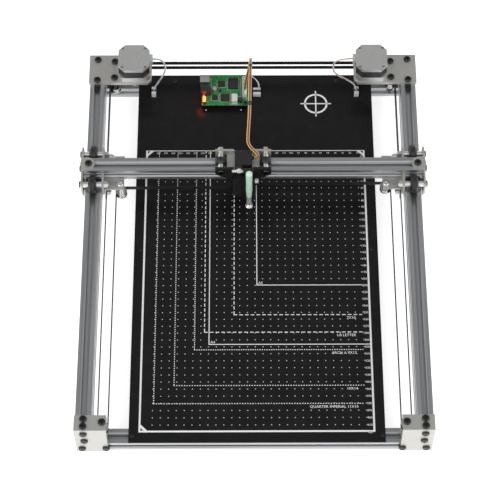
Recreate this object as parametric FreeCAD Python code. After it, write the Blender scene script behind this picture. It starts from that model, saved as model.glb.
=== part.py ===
import FreeCAD, Part
import math
import os

# Desktop drawing machine: a pen carriage on a cross beam, driven by two crossed belts
# over a printed bed. Millimetres, +Z up, +Y to the rear (motors), origin on the table
# under the middle of the machine.

V = FreeCAD.Vector
os.makedirs("parts", exist_ok=True)

# ---- driving dimensions ----
rail_size = 20.0            # side of a 2020 extrusion, and width of the upright side rails
side_rail_height = 40.0     # upright 2040 side rails
side_rail_length = 538.5
rail_spacing = 423.4        # between the side rails' centre planes
corner_depth = 21.0         # front corner block, along Y
corner_width = 40.0
corner_wall = 2.0           # wall of the corner block over the cross rail
rear_wall = 3.0             # leg of the rear bracket behind the rails
deck_gap = 2.0              # space between the cross rails and the side rails, equal to the bed
rear_plate_thickness = 5.0
rear_plate_depth = 46.0
rear_plate_past_motor = 23.0  # inner edge of the motor plate, inside the motor's axis

bed_side_gap = 50.7         # bed's edges inside the side rails' centre planes, on average
bed_end_gap = 2.0           # bed's ends inside the machine's ends, on average
bed_offset_x = 3.4          # the bed sits a little to the right of the frame's middle

beam_y = 92.2               # the beam's place along Y, as stored
carriage_x = -13.1          # the carriage's place along X, as stored
pen_lift_gap = 1.0          # pen tip above the bed, as stored

wheel_radius = 12.0
wheel_width = 10.2
small_wheel_radius = 7.6
small_wheel_width = 8.8
wheel_flat = 5.9            # width of the rim between its two 45 degree flanks
wheel_gap = 0.2             # between the rim and the slot, along the radius
gantry_wheel_spacing = 46.6
carriage_wheel_spacing = 58.4
side_plate_gap = 12.5       # side plates from the rail's centre plane
plate = 2.5                 # gantry side plates
flange = 3.0                # horizontal flange under the beam
carriage_plate = 3.0
carriage_clear = 2.5        # carriage plates from the beam's faces

belt_radius = 6.6           # belt centre line round every pulley
belt_thickness = 1.38
belt_width = 6.0
belt_low_z = 44.0
belt_high_z = 54.5
idler_from_rail = 23.2      # idler axes inside the side rails' centre planes
idler_height = 8.5
idler_flange_radius = 7.7
idler_flange = 1.0
belt_pulley_gap = 0.25
front_idler_y_inset = 11.3  # front idler's axis behind the corner block's face
gantry_rear_idler_y = 23.3  # from the beam's centre plane
gantry_front_idler_y = 17.8

bolt_radius = 2.5           # M5
bolt_clearance = 0.15
running_clearance = 0.05
head_radius = 4.75
head_height = 2.75
nut_radius = 4.6
nut_height = 5.0
small_screw_radius = 1.5    # M3
small_head_radius = 2.75
small_head_height = 1.65

motor_size = 42.3
motor_from_idler = 27.5     # motor axes inside the idler axes
motor_y_from_rear = 24.25   # motor axis in front of the machine's rear face
motor_hole_spacing = 31.0
motor_flange_height = 10.0
motor_stator_height = 13.0
motor_cap_height = 5.0
shaft_radius = 2.5

servo_length = 22.8
servo_width = 12.2
servo_depth = 22.4
servo_shaft_offset = 5.5
servo_stub_depth = 14.5        # lead stub's middle, behind the servo's front
horn_half_length = 9.5
horn_thickness = 1.6
horn_height = 3.4

pen_radius = 4.4
pen_length = 84.0
pen_grip_radius = 3.5
pen_foot_radius = 5.2
pen_forward = 27.0          # pen axis in front of the beam's centre plane
pen_x_from_carriage = 7.6

board_length = 63.7
board_width = 50.6
board_thickness = 1.6
board_x = -38.2
board_from_motor = 9.4      # board's middle in front of the motors' axes
board_standoff = 8.0

# ---- places that follow from them ----
total_length = corner_depth + side_rail_length + rear_wall
y_front = -total_length / 2
y_rear = total_length / 2
rail_y0 = y_front + corner_depth
rail_y1 = rail_y0 + side_rail_length
rail_x = rail_spacing / 2
idler_x = rail_x - idler_from_rail
motor_x = idler_x - motor_from_idler
rear_plate_inner_x = motor_x - rear_plate_past_motor
bed_width = rail_spacing - 2 * bed_side_gap
cross_top = rail_size
bed_top = cross_top + deck_gap
rail_z0 = cross_top + deck_gap
rail_z1 = rail_z0 + side_rail_height
corner_inner = rail_x + rail_size / 2 + corner_wall - 0.5 - corner_width
corner_outer = corner_inner + corner_width
motor_y = y_rear - motor_y_from_rear
board_y = motor_y - board_from_motor
bed_length = total_length - 2 * bed_end_gap
rear_idler_y = motor_y + 2 * belt_radius
feed_idler_y = motor_y - 2 * belt_radius
front_idler_y = y_front + front_idler_y_inset
outer_run_x = idler_x + belt_radius
inner_run_x = idler_x - belt_radius
gantry_front_idler_x = inner_run_x - belt_radius
plate_top = rail_z1 + rear_plate_thickness
beam_z0 = rail_z1 + flange
beam_z1 = beam_z0 + rail_size
outer_plate_x = rail_x + side_plate_gap
inner_plate_x = rail_x - side_plate_gap
beam_half = outer_plate_x
side_belt_z = {-1: belt_low_z, 1: belt_high_z}

# ---- V slot ----
slot_half = 4.58
neck_half = 3.1
slot_points = [(-slot_half, 0), (slot_half, 0), (neck_half, 1.48), (neck_half, 1.8),
               (5.6, 1.8), (5.6, 3.2), (2.9, 5.9), (-2.9, 5.9), (-5.6, 3.2), (-5.6, 1.8),
               (-neck_half, 1.8), (-neck_half, 1.48)]


def wheel_height(radius):
    """Axis above a slotted face, for a wheel whose rim sits in the slot."""
    return radius - (slot_half - wheel_flat / 2) + wheel_gap


def write(name, *solids):
    shape = solids[0] if len(solids) == 1 else Part.makeCompound(list(solids))
    shape.exportStep("parts/" + name + ".step")
    print(name, len(shape.Solids), shape.isValid(), round(shape.Volume, 1))


def box(x0, x1, y0, y1, z0, z1):
    lo = V(min(x0, x1), min(y0, y1), min(z0, z1))
    return Part.makeBox(abs(x1 - x0), abs(y1 - y0), abs(z1 - z0), lo)


def rod(radius, start, end):
    way = end - start
    return Part.makeCylinder(radius, way.Length, start, way)


def prism(points, way):
    """A closed outline of 3D points, pushed along a vector."""
    return Part.Face(Part.makePolygon(points + [points[0]])).extrude(way)


def fuse(shapes):
    whole = shapes[0]
    for other in shapes[1:]:
        whole = whole.fuse(other)
    return whole.removeSplitter()


def cut(shape, tools):
    for tool in tools:
        shape = shape.cut(tool)
    return shape


def turned(shape, axis_point, axis, angle):
    copy = shape.copy()
    copy.rotate(axis_point, axis, angle)
    return copy


def moved(shape, x, y, z):
    copy = shape.copy()
    copy.translate(V(x, y, z))
    return copy


def extrusion(width, height, length):
    """V slot bar along +X from the origin: width along Y, height along Z, centred on both."""
    bar = box(0, length, -width / 2, width / 2, -height / 2, height / 2)
    slots = []
    step = rail_size
    across = [(i + 0.5) * step - width / 2 for i in range(round(width / step))]
    upward = [(i + 0.5) * step - height / 2 for i in range(round(height / step))]
    for side in (-1, 1):
        for y in across:
            slots.append([V(-1, y + u, side * (height / 2 - d)) for u, d in slot_points])
        for z in upward:
            slots.append([V(-1, side * (width / 2 - d), z + u) for u, d in slot_points])
    tools = [prism(points, V(length + 2, 0, 0)) for points in slots]
    bore = bolt_radius + running_clearance
    tools += [rod(bore, V(-1, y, z), V(length + 1, y, z)) for y in across for z in upward]
    return cut(bar, tools)


def bolt(x, y, z, way, length, radius=bolt_radius, head=head_radius, height=head_height):
    """Button head on the face at (x, y, z), shank going along way."""
    start = V(x, y, z)
    way = V(*way)
    top = start - way * height
    head_solid = rod(head, start, top)
    edge = height * 0.55
    rim_edges = [e for e in head_solid.Edges if (e.CenterOfMass - top).Length < 1e-6]
    head_solid = head_solid.makeFillet(edge, rim_edges)
    socket = Part.Face(Part.makePolygon(hexagon(radius * 0.62, top, way))).extrude(way * height * 0.6)
    return head_solid.cut(socket).fuse(rod(radius, start, start + way * length))


def hexagon(radius, centre, way):
    """Closed ring of seven points, square to way."""
    side = V(1, 0, 0) if abs(way.x) < 0.5 else V(0, 1, 0)
    up = way.cross(side)
    ring = [centre + side * (radius * math.cos(a)) + up * (radius * math.sin(a))
            for a in [i * math.pi / 3 for i in range(6)]]
    return ring + [ring[0]]


def nut(centre, way, bore=bolt_radius):
    """Lock nut from centre along way, on a bolt."""
    way = V(*way)
    body = Part.Face(Part.makePolygon(hexagon(nut_radius, centre, way))).extrude(way * nut_height)
    return body.cut(rod(bore, centre, centre + way * nut_height))


def spacer(start, end, radius=4.0):
    return rod(radius, start, end).cut(rod(bolt_radius, start, end))


def idler(x, y, z):
    """Two flanges and a plain drum on a vertical axle, its belt centred at z."""
    low = z - idler_height / 2
    drum = belt_radius - belt_thickness / 2 - belt_pulley_gap
    parts = [rod(drum, V(x, y, low), V(x, y, low + idler_height)),
             rod(idler_flange_radius, V(x, y, low), V(x, y, low + idler_flange)),
             rod(idler_flange_radius, V(x, y, low + idler_height - idler_flange),
                 V(x, y, low + idler_height))]
    bore = rod(bolt_radius + running_clearance, V(x, y, low), V(x, y, low + idler_height))
    return fuse(parts).cut(bore)


def wheel(radius, width, centre, along_x):
    """Solid V wheel: rim with 45 degree flanks, turned about X or Y."""
    flat = wheel_flat / 2
    half = width / 2
    low = radius - (half - flat)
    hub = bolt_radius + running_clearance
    outline = [(-half, hub), (-half, low), (-flat, radius), (flat, radius), (half, low), (half, hub)]
    points = [V(a, 0, r) for a, r in outline]
    face = Part.Face(Part.makePolygon(points + [points[0]]))
    solid = face.revolve(V(0, 0, 0), V(1, 0, 0), 360)
    if not along_x:
        solid = turned(solid, V(0, 0, 0), V(0, 0, 1), 90)
    return moved(solid, centre.x, centre.y, centre.z)


def arc_band(x, y, z, start, sweep):
    """Belt round a pulley at (x, y), from the angle start through sweep degrees."""
    low = V(x, y, z - belt_width / 2)
    outer = Part.makeCylinder(belt_radius + belt_thickness / 2, belt_width, low, V(0, 0, 1), sweep)
    inner = Part.makeCylinder(belt_radius - belt_thickness / 2, belt_width, low, V(0, 0, 1), sweep)
    return turned(outer.cut(inner), low, V(0, 0, 1), start)


def run_x(x0, x1, y, z):
    """Straight belt along X."""
    half = belt_thickness / 2
    return box(x0, x1, y - half, y + half, z - belt_width / 2, z + belt_width / 2)


def run_y(x, y0, y1, z):
    """Straight belt along Y."""
    half = belt_thickness / 2
    return box(x - half, x + half, y0, y1, z - belt_width / 2, z + belt_width / 2)


def mirrored(shape, side):
    """The shape as drawn for the right side (+X), or its mirror for the left."""
    return shape if side > 0 else shape.mirror(V(0, 0, 0), V(1, 0, 0))


def clearance_hole(x, y, z0, z1, radius=bolt_radius):
    return rod(radius + bolt_clearance, V(x, y, z0), V(x, y, z1))


sides = {"left": -1, "right": 1}

# ---- frame: rails ----
side_bar = extrusion(rail_size, side_rail_height, side_rail_length)
side_bar = turned(side_bar, V(0, 0, 0), V(0, 0, 1), 90)
for name, s in sides.items():
    write("side_rail_" + name, moved(side_bar, s * rail_x, rail_y0, rail_z0 + side_rail_height / 2))

cross_half = corner_outer - corner_wall
cross_bar = extrusion(rail_size, rail_size, 2 * cross_half)
front_rail_y = y_front + corner_wall + rail_size / 2
rear_rail_y = rail_y1 - rail_size / 2
write("front_rail", moved(cross_bar, -cross_half, front_rail_y, rail_size / 2))
write("rear_rail", moved(cross_bar, -cross_half, rear_rail_y, rail_size / 2))

# ---- front corner blocks, each round a rail end and an idler ----
lower_bolt_x = [rail_x + 4.0, rail_x - 26.0]
top_bolt_y = [y_front + 5.5, y_front + 15.5]
rail_bolt_z = [rail_z0 + rail_size / 2, rail_z0 + rail_size * 1.5]
idler_room = idler_flange_radius + 0.5


def front_corner(side):
    z_belt = side_belt_z[side]
    block = box(corner_inner, corner_outer, y_front, rail_y0, 0, rail_z1)
    pocket = box(corner_inner - 1, cross_half, y_front + corner_wall, rail_y0 + 1, 0 - 1, cross_top)
    room_low = z_belt - idler_height / 2 - 0.5
    room_high = z_belt + idler_height / 2 + 0.5
    room = box(corner_inner - 1, idler_x + idler_room, front_idler_y - idler_room, rail_y0 + 1,
               room_low, room_high)
    holes = [clearance_hole(idler_x, front_idler_y, cross_top, rail_z1 + 1)]
    holes += [clearance_hole(rail_x, y, rail_z1 - 9, rail_z1 + 1) for y in top_bolt_y]
    reach = bolt_radius + bolt_clearance
    holes += [rod(reach, V(rail_x, y_front - 1, z), V(rail_x, rail_y0 + 1, z)) for z in rail_bolt_z]
    holes += [rod(reach, V(x, y_front - 1, rail_size / 2), V(x, front_rail_y, rail_size / 2))
              for x in lower_bolt_x]
    return mirrored(cut(block, [pocket, room] + holes), side)


for name, s in sides.items():
    write("front_corner_" + name, front_corner(s))

# ---- rear brackets: motor plate with a leg behind the rails ----
plate_y0 = y_rear - rear_plate_depth
bracket_idlers = [feed_idler_y, rear_idler_y]
plate_bolt_y = [y_rear - 8.0, y_rear - 41.5]


def rear_bracket(side):
    top = box(rear_plate_inner_x, corner_outer, plate_y0, y_rear, rail_z1, plate_top)
    corner = [e for e in top.Edges if abs(e.CenterOfMass.x - rear_plate_inner_x) < 0.01
              and abs(e.CenterOfMass.y - plate_y0) < 0.01]
    top = top.makeChamfer(5.0, corner)
    leg = box(corner_inner, corner_outer, rail_y1, y_rear, 0, rail_z1)
    body = fuse([top, leg])
    pilot = rod(11.3, V(motor_x, motor_y, rail_z1 - 1), V(motor_x, motor_y, plate_top + 1))
    half = motor_hole_spacing / 2
    holes = [clearance_hole(motor_x + i * half, motor_y + j * half, rail_z1 - 1, plate_top + 1,
                            small_screw_radius) for i in (-1, 1) for j in (-1, 1)]
    holes += [clearance_hole(idler_x, y, rail_z1 - 1, plate_top + 1) for y in bracket_idlers]
    holes += [clearance_hole(rail_x, y, rail_z1 - 1, plate_top + 1) for y in plate_bolt_y]
    reach = bolt_radius + bolt_clearance
    holes += [rod(reach, V(rail_x, rail_y1 - 1, z), V(rail_x, y_rear + 1, z)) for z in rail_bolt_z]
    holes += [rod(reach, V(x, rail_y1 - 1, rail_size / 2), V(x, y_rear + 1, rail_size / 2))
              for x in lower_bolt_x]
    return mirrored(cut(body, [pilot] + holes), side)


for name, s in sides.items():
    write("rear_bracket_" + name, rear_bracket(s))

# ---- bed and the legs under its middle ----
bed_x0 = bed_offset_x - bed_width / 2
bed_x1 = bed_offset_x + bed_width / 2
bed_y0 = y_front + 1.75
bed_screws = [(bed_x0 + 4.3, front_rail_y - 1), (bed_x1 - 3.5, front_rail_y - 1),
              (bed_x0 + 9.0, -1.5), (bed_x1 - 8.0, -1.5),
              (116.0, rear_rail_y), (-108.0, rear_rail_y)]
board_holes = [(board_x + i * (board_length / 2 - 3.5), board_y + j * (board_width / 2 - 3.5))
               for i in (-1, 1) for j in (-1, 1)]
bed = box(bed_x0, bed_x1, bed_y0, bed_y0 + bed_length, cross_top, bed_top)
bed_holes = [clearance_hole(x, y, cross_top - 1, bed_top + 1, small_screw_radius)
             for x, y in bed_screws + board_holes]
write("bed_plate", cut(bed, bed_holes))
leg_radius = 6.0
legs = [rod(leg_radius, V(x, y, 0), V(x, y, cross_top)).cut(
    rod(small_screw_radius, V(x, y, cross_top - 8), V(x, y, cross_top))) for x, y in bed_screws[2:4]]
write("bed_legs", *legs)

# ---- motors ----
motor_z = plate_top
motor_top = motor_z + motor_flange_height + motor_stator_height + motor_cap_height


def octagon_block(size, corner, z0, z1):
    half = size / 2
    near = half - corner
    ring = [(half, -near), (half, near), (near, half), (-near, half), (-half, near),
            (-half, -near), (-near, -half), (near, -half)]
    return prism([V(motor_x + x, motor_y + y, z0) for x, y in ring], V(0, 0, z1 - z0))


def motor(side):
    z1 = motor_z + motor_flange_height
    z2 = z1 + motor_stator_height
    half = motor_hole_spacing / 2
    bore = rod(shaft_radius + bolt_clearance, V(motor_x, motor_y, motor_z - 3),
               V(motor_x, motor_y, motor_top - 2))
    pilot = rod(11.0, V(motor_x, motor_y, motor_z - 2), V(motor_x, motor_y, motor_z))
    front_bell = fuse([octagon_block(motor_size, 4.5, motor_z, z1), pilot]).cut(bore)
    tapped = [rod(small_screw_radius, V(motor_x + i * half, motor_y + j * half, motor_z),
                  V(motor_x + i * half, motor_y + j * half, motor_z + 4.5)) for i in (-1, 1) for j in (-1, 1)]
    front_bell = cut(front_bell, tapped)
    stator = octagon_block(motor_size - 0.4, 8.5, z1, z2).cut(bore)
    sinks = [rod(1.9, V(motor_x + i * half, motor_y + j * half, z2 + 1.5),
                 V(motor_x + i * half, motor_y + j * half, motor_top + 1)) for i in (-1, 1) for j in (-1, 1)]
    cap = cut(octagon_block(motor_size, 8.5, z2, motor_top), sinks + [bore])
    boss = rod(3.2, V(motor_x, motor_y, motor_top), V(motor_x, motor_y, motor_top + 0.8))
    cap = cap.fuse(boss)
    return [mirrored(solid, side) for solid in (front_bell, stator, cap)]


for name, s in sides.items():
    write("motor_" + name, *motor(s))


def motor_pulley(side):
    """Motor shaft with its toothed pulley, level with that side's belt."""
    z_belt = side_belt_z[side]
    low = z_belt - belt_width / 2 - 0.25 - idler_flange
    drum = belt_radius - belt_thickness / 2 - belt_pulley_gap
    at = V(motor_x, motor_y, low)
    shaft = rod(shaft_radius, at, V(motor_x, motor_y, motor_top - 3))
    groove = belt_width + 0.5
    low_flange = rod(idler_flange_radius, at, at + V(0, 0, idler_flange))
    drum_solid = rod(drum, at, at + V(0, 0, groove + 2 * idler_flange))
    high_flange = rod(idler_flange_radius, at + V(0, 0, idler_flange + groove),
                      at + V(0, 0, 2 * idler_flange + groove))
    return mirrored(fuse([shaft, drum_solid, low_flange, high_flange]), side)


for name, s in sides.items():
    write("motor_pulley_" + name, motor_pulley(s))

# ---- idlers ----
for name, s in sides.items():
    own = side_belt_z[s]
    other = side_belt_z[-s]
    write("front_idler_" + name, idler(s * idler_x, front_idler_y, own))
    write("rear_idler_feed_" + name, idler(s * idler_x, feed_idler_y, own))
    write("rear_idler_own_" + name, idler(s * idler_x, rear_idler_y, own))
    write("rear_idler_cross_" + name, idler(s * idler_x, rear_idler_y, other))
    write("gantry_idler_front_" + name,
          idler(s * gantry_front_idler_x, beam_y - gantry_front_idler_y, own))
    write("gantry_idler_rear_" + name, idler(s * idler_x, beam_y + gantry_rear_idler_y, other))

# ---- frame fasteners ----
frame_bolts = []
for s in (-1, 1):
    for z in rail_bolt_z:
        frame_bolts.append(bolt(s * rail_x, y_front, z, (0, 1, 0), corner_depth + 9))
        frame_bolts.append(bolt(s * rail_x, y_rear, z, (0, -1, 0), rear_wall + 9))
    for x in lower_bolt_x:
        frame_bolts.append(bolt(s * x, y_front, rail_size / 2, (0, 1, 0), corner_wall + 5))
        frame_bolts.append(bolt(s * x, y_rear, rail_size / 2, (0, -1, 0), rear_wall + 5))
    for y in top_bolt_y:
        frame_bolts.append(bolt(s * rail_x, y, rail_z1, (0, 0, -1), 7))
    for y in plate_bolt_y:
        frame_bolts.append(bolt(s * rail_x, y, plate_top, (0, 0, -1), rear_plate_thickness + 5))
    slot_nut = box(s * rail_x - 2.9, s * rail_x + 2.9, plate_y0 - 8.5, plate_y0 - 0.5,
                   rail_z1 - 5.5, rail_z1 - 0.3)
    frame_bolts.append(slot_nut)
screw_length = deck_gap + 3.5
for x, y in bed_screws:
    frame_bolts.append(bolt(x, y, bed_top, (0, 0, -1), screw_length, small_screw_radius,
                            small_head_radius, small_head_height))
for x, y in board_holes:
    post = rod(2.75, V(x, y, bed_top), V(x, y, bed_top + board_standoff))
    frame_bolts.append(post)
    frame_bolts.append(bolt(x, y, bed_top + board_standoff + board_thickness, (0, 0, -1),
                            board_thickness, small_screw_radius, small_head_radius,
                            small_head_height))
half_pattern = motor_hole_spacing / 2
for s in (-1, 1):
    for i in (-1, 1):
        for j in (-1, 1):
            frame_bolts.append(bolt(s * motor_x + i * half_pattern, motor_y + j * half_pattern,
                                    rail_z1, (0, 0, 1), rear_plate_thickness + 4,
                                    small_screw_radius, small_head_radius, small_head_height))

# idler bolts of the frame, with the spacers that set each idler's height
idler_bolts = []
for s in (-1, 1):
    own = side_belt_z[s]
    half = idler_height / 2
    idler_bolts.append(bolt(s * idler_x, front_idler_y, rail_z1, (0, 0, -1), rail_z1 - cross_top - 14))
    for y in bracket_idlers:
        end = belt_low_z - half - nut_height - 0.5
        idler_bolts.append(bolt(s * idler_x, y, plate_top, (0, 0, -1), plate_top - end))
        idler_bolts.append(nut(V(s * idler_x, y, belt_low_z - half - 0.2), (0, 0, -1)))
    between = (V(s * idler_x, rear_idler_y, belt_low_z + half + 0.1),
               V(s * idler_x, rear_idler_y, belt_high_z - half - 0.1))
    idler_bolts.append(spacer(*between))
    if own == belt_low_z:
        gap = (V(s * idler_x, feed_idler_y, belt_low_z + half + 0.1), V(s * idler_x, feed_idler_y, rail_z1))
    else:
        gap = (V(s * idler_x, feed_idler_y, belt_low_z - half - 0.2),
               V(s * idler_x, feed_idler_y, belt_high_z - half - 0.1))
    idler_bolts.append(spacer(*gap))
write("frame_fasteners", *frame_bolts, *idler_bolts)

# ---- belts: the runs whose shape stays with the frame ----


def belt_loop(side):
    """Front wrap, outer run, feed idler, motor wrap, rear wrap, crossing and far wrap."""
    z = side_belt_z[side]
    pieces = [arc_band(idler_x, front_idler_y, z, 180, 180),
              run_y(outer_run_x, front_idler_y, feed_idler_y, z),
              arc_band(idler_x, feed_idler_y, z, 0, 90),
              run_x(motor_x, idler_x, motor_y - belt_radius, z),
              arc_band(motor_x, motor_y, z, 90, 180),
              run_x(motor_x, idler_x, motor_y + belt_radius, z),
              arc_band(idler_x, rear_idler_y, z, 270, 180),
              run_x(-idler_x, idler_x, rear_idler_y + belt_radius, z),
              arc_band(-idler_x, rear_idler_y, z, 90, 90)]
    return mirrored(fuse(pieces), side)


for name, s in sides.items():
    write("belt_loop_" + name, belt_loop(s))

side_runs = []
beam_runs = []
clamp_half = 16.0
beam_front_run_y = beam_y - gantry_front_idler_y + belt_radius
beam_rear_run_y = beam_y + gantry_rear_idler_y - belt_radius
for s in (-1, 1):
    own = side_belt_z[s]
    other = side_belt_z[-s]
    side_runs.append(run_y(s * inner_run_x, front_idler_y, beam_y - gantry_front_idler_y, own))
    side_runs.append(run_y(s * outer_run_x, beam_y + gantry_rear_idler_y, rear_idler_y, other))
    clamp_x = s * carriage_x + clamp_half
    front = fuse([arc_band(gantry_front_idler_x, beam_y - gantry_front_idler_y, own, 0, 90),
                  run_x(clamp_x, gantry_front_idler_x, beam_front_run_y, own)])
    rear = fuse([arc_band(idler_x, beam_y + gantry_rear_idler_y, other, 270, 90),
                 run_x(clamp_x, idler_x, beam_rear_run_y, other)])
    beam_runs += [mirrored(front, s), mirrored(rear, s)]
write("belt_side_runs", *side_runs)
write("belt_beam_runs", *beam_runs)

# ---- gantry: beam, side plates, wheels ----
beam = extrusion(rail_size, rail_size, 2 * beam_half)
write("gantry_beam", moved(beam, -beam_half, beam_y, beam_z0 + rail_size / 2))

axle_z = rail_z1 + wheel_height(wheel_radius)
lower_axle_z = rail_z0 - wheel_height(small_wheel_radius)
axle_y = [beam_y - gantry_wheel_spacing / 2, beam_y + gantry_wheel_spacing / 2]
plate_half = gantry_wheel_spacing / 2 + 6.5
ear_top = axle_z + 8
plate_low = lower_axle_z - 6
notch = rail_size / 2 + 0.3


def side_plate(x0, x1, notch_z):
    """Upright plate with an ear at each upper axle, and a foot that carries the lower one."""
    y_at = beam_y
    outline = [(-plate_half, ear_top), (-notch, ear_top), (-notch, notch_z), (notch, notch_z),
               (notch, ear_top), (plate_half, ear_top), (plate_half, rail_z1 - 4), (12, rail_z1 - 18),
               (8, plate_low), (-8, plate_low), (-12, rail_z1 - 18), (-plate_half, rail_z1 - 4)]
    solid = prism([V(x0, y_at + y, z) for y, z in outline], V(x1 - x0, 0, 0))
    reach = bolt_radius + bolt_clearance
    holes = [rod(reach, V(x0 - 1, y, axle_z), V(x1 + 1, y, axle_z)) for y in axle_y]
    holes.append(rod(reach, V(x0 - 1, y_at, lower_axle_z), V(x1 + 1, y_at, lower_axle_z)))
    return cut(solid, holes)


lug_inner = rail_x - 3.0
lug_bolt_x = rail_x + 5.0
lug_half = 9.5
flange_inner = gantry_front_idler_x - 4.5
flange_half = 25.6


def outer_bracket(side):
    wall = side_plate(outer_plate_x, outer_plate_x + plate, beam_z1)
    lug = box(lug_inner + lug_half - 2, outer_plate_x + plate, beam_y - lug_half, beam_y + lug_half,
              beam_z1, beam_z1 + plate)
    nose = rod(lug_half, V(lug_inner + lug_half, beam_y, beam_z1),
               V(lug_inner + lug_half, beam_y, beam_z1 + plate))
    end_hole = rod(bolt_radius + bolt_clearance, V(outer_plate_x - 1, beam_y, beam_z0 + rail_size / 2),
                   V(outer_plate_x + plate + 1, beam_y, beam_z0 + rail_size / 2))
    hole = clearance_hole(lug_bolt_x, beam_y, beam_z1 - 1, beam_z1 + plate + 1)
    return mirrored(cut(fuse([wall, lug, nose]), [hole, end_hole]), side)


def inner_bracket(side):
    wall = side_plate(inner_plate_x - plate, inner_plate_x, beam_z0)
    foot = box(flange_inner, inner_plate_x, beam_y - flange_half, beam_y + flange_half,
               rail_z1, beam_z0)
    holes = [clearance_hole(gantry_front_idler_x, beam_y - gantry_front_idler_y, rail_z1 - 1, beam_z0 + 1),
             clearance_hole(idler_x, beam_y + gantry_rear_idler_y, rail_z1 - 1, beam_z0 + 1),
             clearance_hole(idler_x - 4, beam_y, rail_z1 - 1, beam_z0 + 1)]
    return mirrored(cut(fuse([wall, foot]), holes), side)


gantry_fasteners = []
for name, s in sides.items():
    write("outer_bracket_" + name, outer_bracket(s))
    write("inner_bracket_" + name, inner_bracket(s))
    for place, y in zip(("front", "rear"), axle_y):
        write("gantry_wheel_" + name + "_" + place,
              wheel(wheel_radius, wheel_width, V(s * rail_x, y, axle_z), True))
    write("gantry_wheel_" + name + "_lower",
          wheel(small_wheel_radius, small_wheel_width, V(s * rail_x, beam_y, lower_axle_z), True))
    axles = [(axle_y[0], axle_z, wheel_width), (axle_y[1], axle_z, wheel_width),
             (beam_y, lower_axle_z, small_wheel_width)]
    for y, z, width in axles:
        outside = s * (outer_plate_x + plate)
        span = 2 * side_plate_gap + 2 * plate
        gantry_fasteners.append(bolt(outside, y, z, (-s, 0, 0), span + nut_height + 1))
        inside = s * (inner_plate_x - plate)
        gantry_fasteners.append(nut(V(inside, y, z), (-s, 0, 0)))
        gantry_fasteners.append(spacer(V(s * (rail_x + width / 2 + 0.1), y, z), V(s * outer_plate_x, y, z)))
        gantry_fasteners.append(spacer(V(s * inner_plate_x, y, z), V(s * (rail_x - width / 2 - 0.1), y, z)))
    gantry_fasteners.append(bolt(s * lug_bolt_x, beam_y, beam_z1 + plate, (0, 0, -1), plate + 5))
    gantry_fasteners.append(bolt(s * (outer_plate_x + plate), beam_y, beam_z0 + rail_size / 2,
                                 (-s, 0, 0), plate + 10))
    gantry_fasteners.append(bolt(s * (idler_x - 4), beam_y, rail_z1, (0, 0, 1), flange + 5))
    own = side_belt_z[s]
    for x, y, z in ((gantry_front_idler_x, beam_y - gantry_front_idler_y, own),
                    (idler_x, beam_y + gantry_rear_idler_y, side_belt_z[-s])):
        low = z - idler_height / 2 - 0.1
        gantry_fasteners.append(bolt(s * x, y, beam_z0, (0, 0, -1), beam_z0 - low + nut_height + 1))
        gantry_fasteners.append(nut(V(s * x, y, low), (0, 0, -1)))
        gantry_fasteners.append(spacer(V(s * x, y, z + idler_height / 2 + 0.1), V(s * x, y, rail_z1)))
write("gantry_fasteners", *gantry_fasteners)

# ---- carriage ----
face_y = rail_size / 2 + carriage_clear
front_y1 = beam_y - face_y
front_y0 = front_y1 - carriage_plate
back_y0 = beam_y + face_y
back_y1 = back_y0 + carriage_plate
carriage_axle_z = beam_z1 + wheel_height(small_wheel_radius)
carriage_low_axle_z = beam_z0 - wheel_height(small_wheel_radius)
ear_x = carriage_wheel_spacing / 2 + 7.5
waist_x = 22.8
tail_x = clamp_half
plate_base = 34.0
bridge_z0 = beam_z1 + 1.0
bridge_z1 = bridge_z0 + carriage_plate
bridge_x = 21.3
carriage_axles = [(carriage_x - carriage_wheel_spacing / 2, carriage_axle_z),
                  (carriage_x + carriage_wheel_spacing / 2, carriage_axle_z),
                  (carriage_x, carriage_low_axle_z)]
servo_z = bridge_z1 + servo_width / 2
servo_front_y = beam_y - 11.4
servo_x = carriage_x + 0.2
servo_shaft_x = servo_x - servo_shaft_offset


def carriage_wall(y0, y1, base, notch_z):
    """Plate with an ear at each upper wheel, a waist over the beam and a narrow tail."""
    ear_z0 = carriage_axle_z - 7.5
    ear_z1 = carriage_axle_z + 6.5
    inner = servo_length / 2 + 1.0
    outline = [(-ear_x, ear_z1), (-inner, ear_z1), (-inner, notch_z), (inner, notch_z), (inner, ear_z1),
               (ear_x, ear_z1), (ear_x, ear_z0), (waist_x, ear_z0 - 8), (waist_x, beam_z0),
               (tail_x, beam_z0 - 4), (tail_x, base), (-tail_x, base), (-tail_x, beam_z0 - 4),
               (-waist_x, beam_z0), (-waist_x, ear_z0 - 8), (-ear_x, ear_z0)]
    solid = prism([V(carriage_x + x, y0, z) for x, z in outline], V(0, y1 - y0, 0))
    reach = bolt_radius + bolt_clearance
    return cut(solid, [rod(reach, V(x, y0 - 1, z), V(x, y1 + 1, z)) for x, z in carriage_axles])


lug_depth = 3.0
front_lugs = []
rear_lugs = []
for s in (-1, 1):
    x_out = carriage_x + s * clamp_half
    x_in = x_out - s * 6
    z = side_belt_z[s]
    front_lugs.append(box(x_in, x_out, front_y1, front_y1 + lug_depth, z - 4, z + 4))
    z = side_belt_z[-s]
    rear_lugs.append(box(x_in, x_out, back_y1, back_y1 + lug_depth, z - 4, z + 4))
front_plate = fuse([carriage_wall(front_y0, front_y1, plate_base, bridge_z1)] + front_lugs)
write("carriage_front_plate", front_plate)
bridge = box(carriage_x - bridge_x, carriage_x + bridge_x, front_y1, back_y0, bridge_z0, bridge_z1)
back = fuse([carriage_wall(back_y0, back_y1, 38.0, bridge_z1), bridge] + rear_lugs)
write("carriage_bracket", back)

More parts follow.
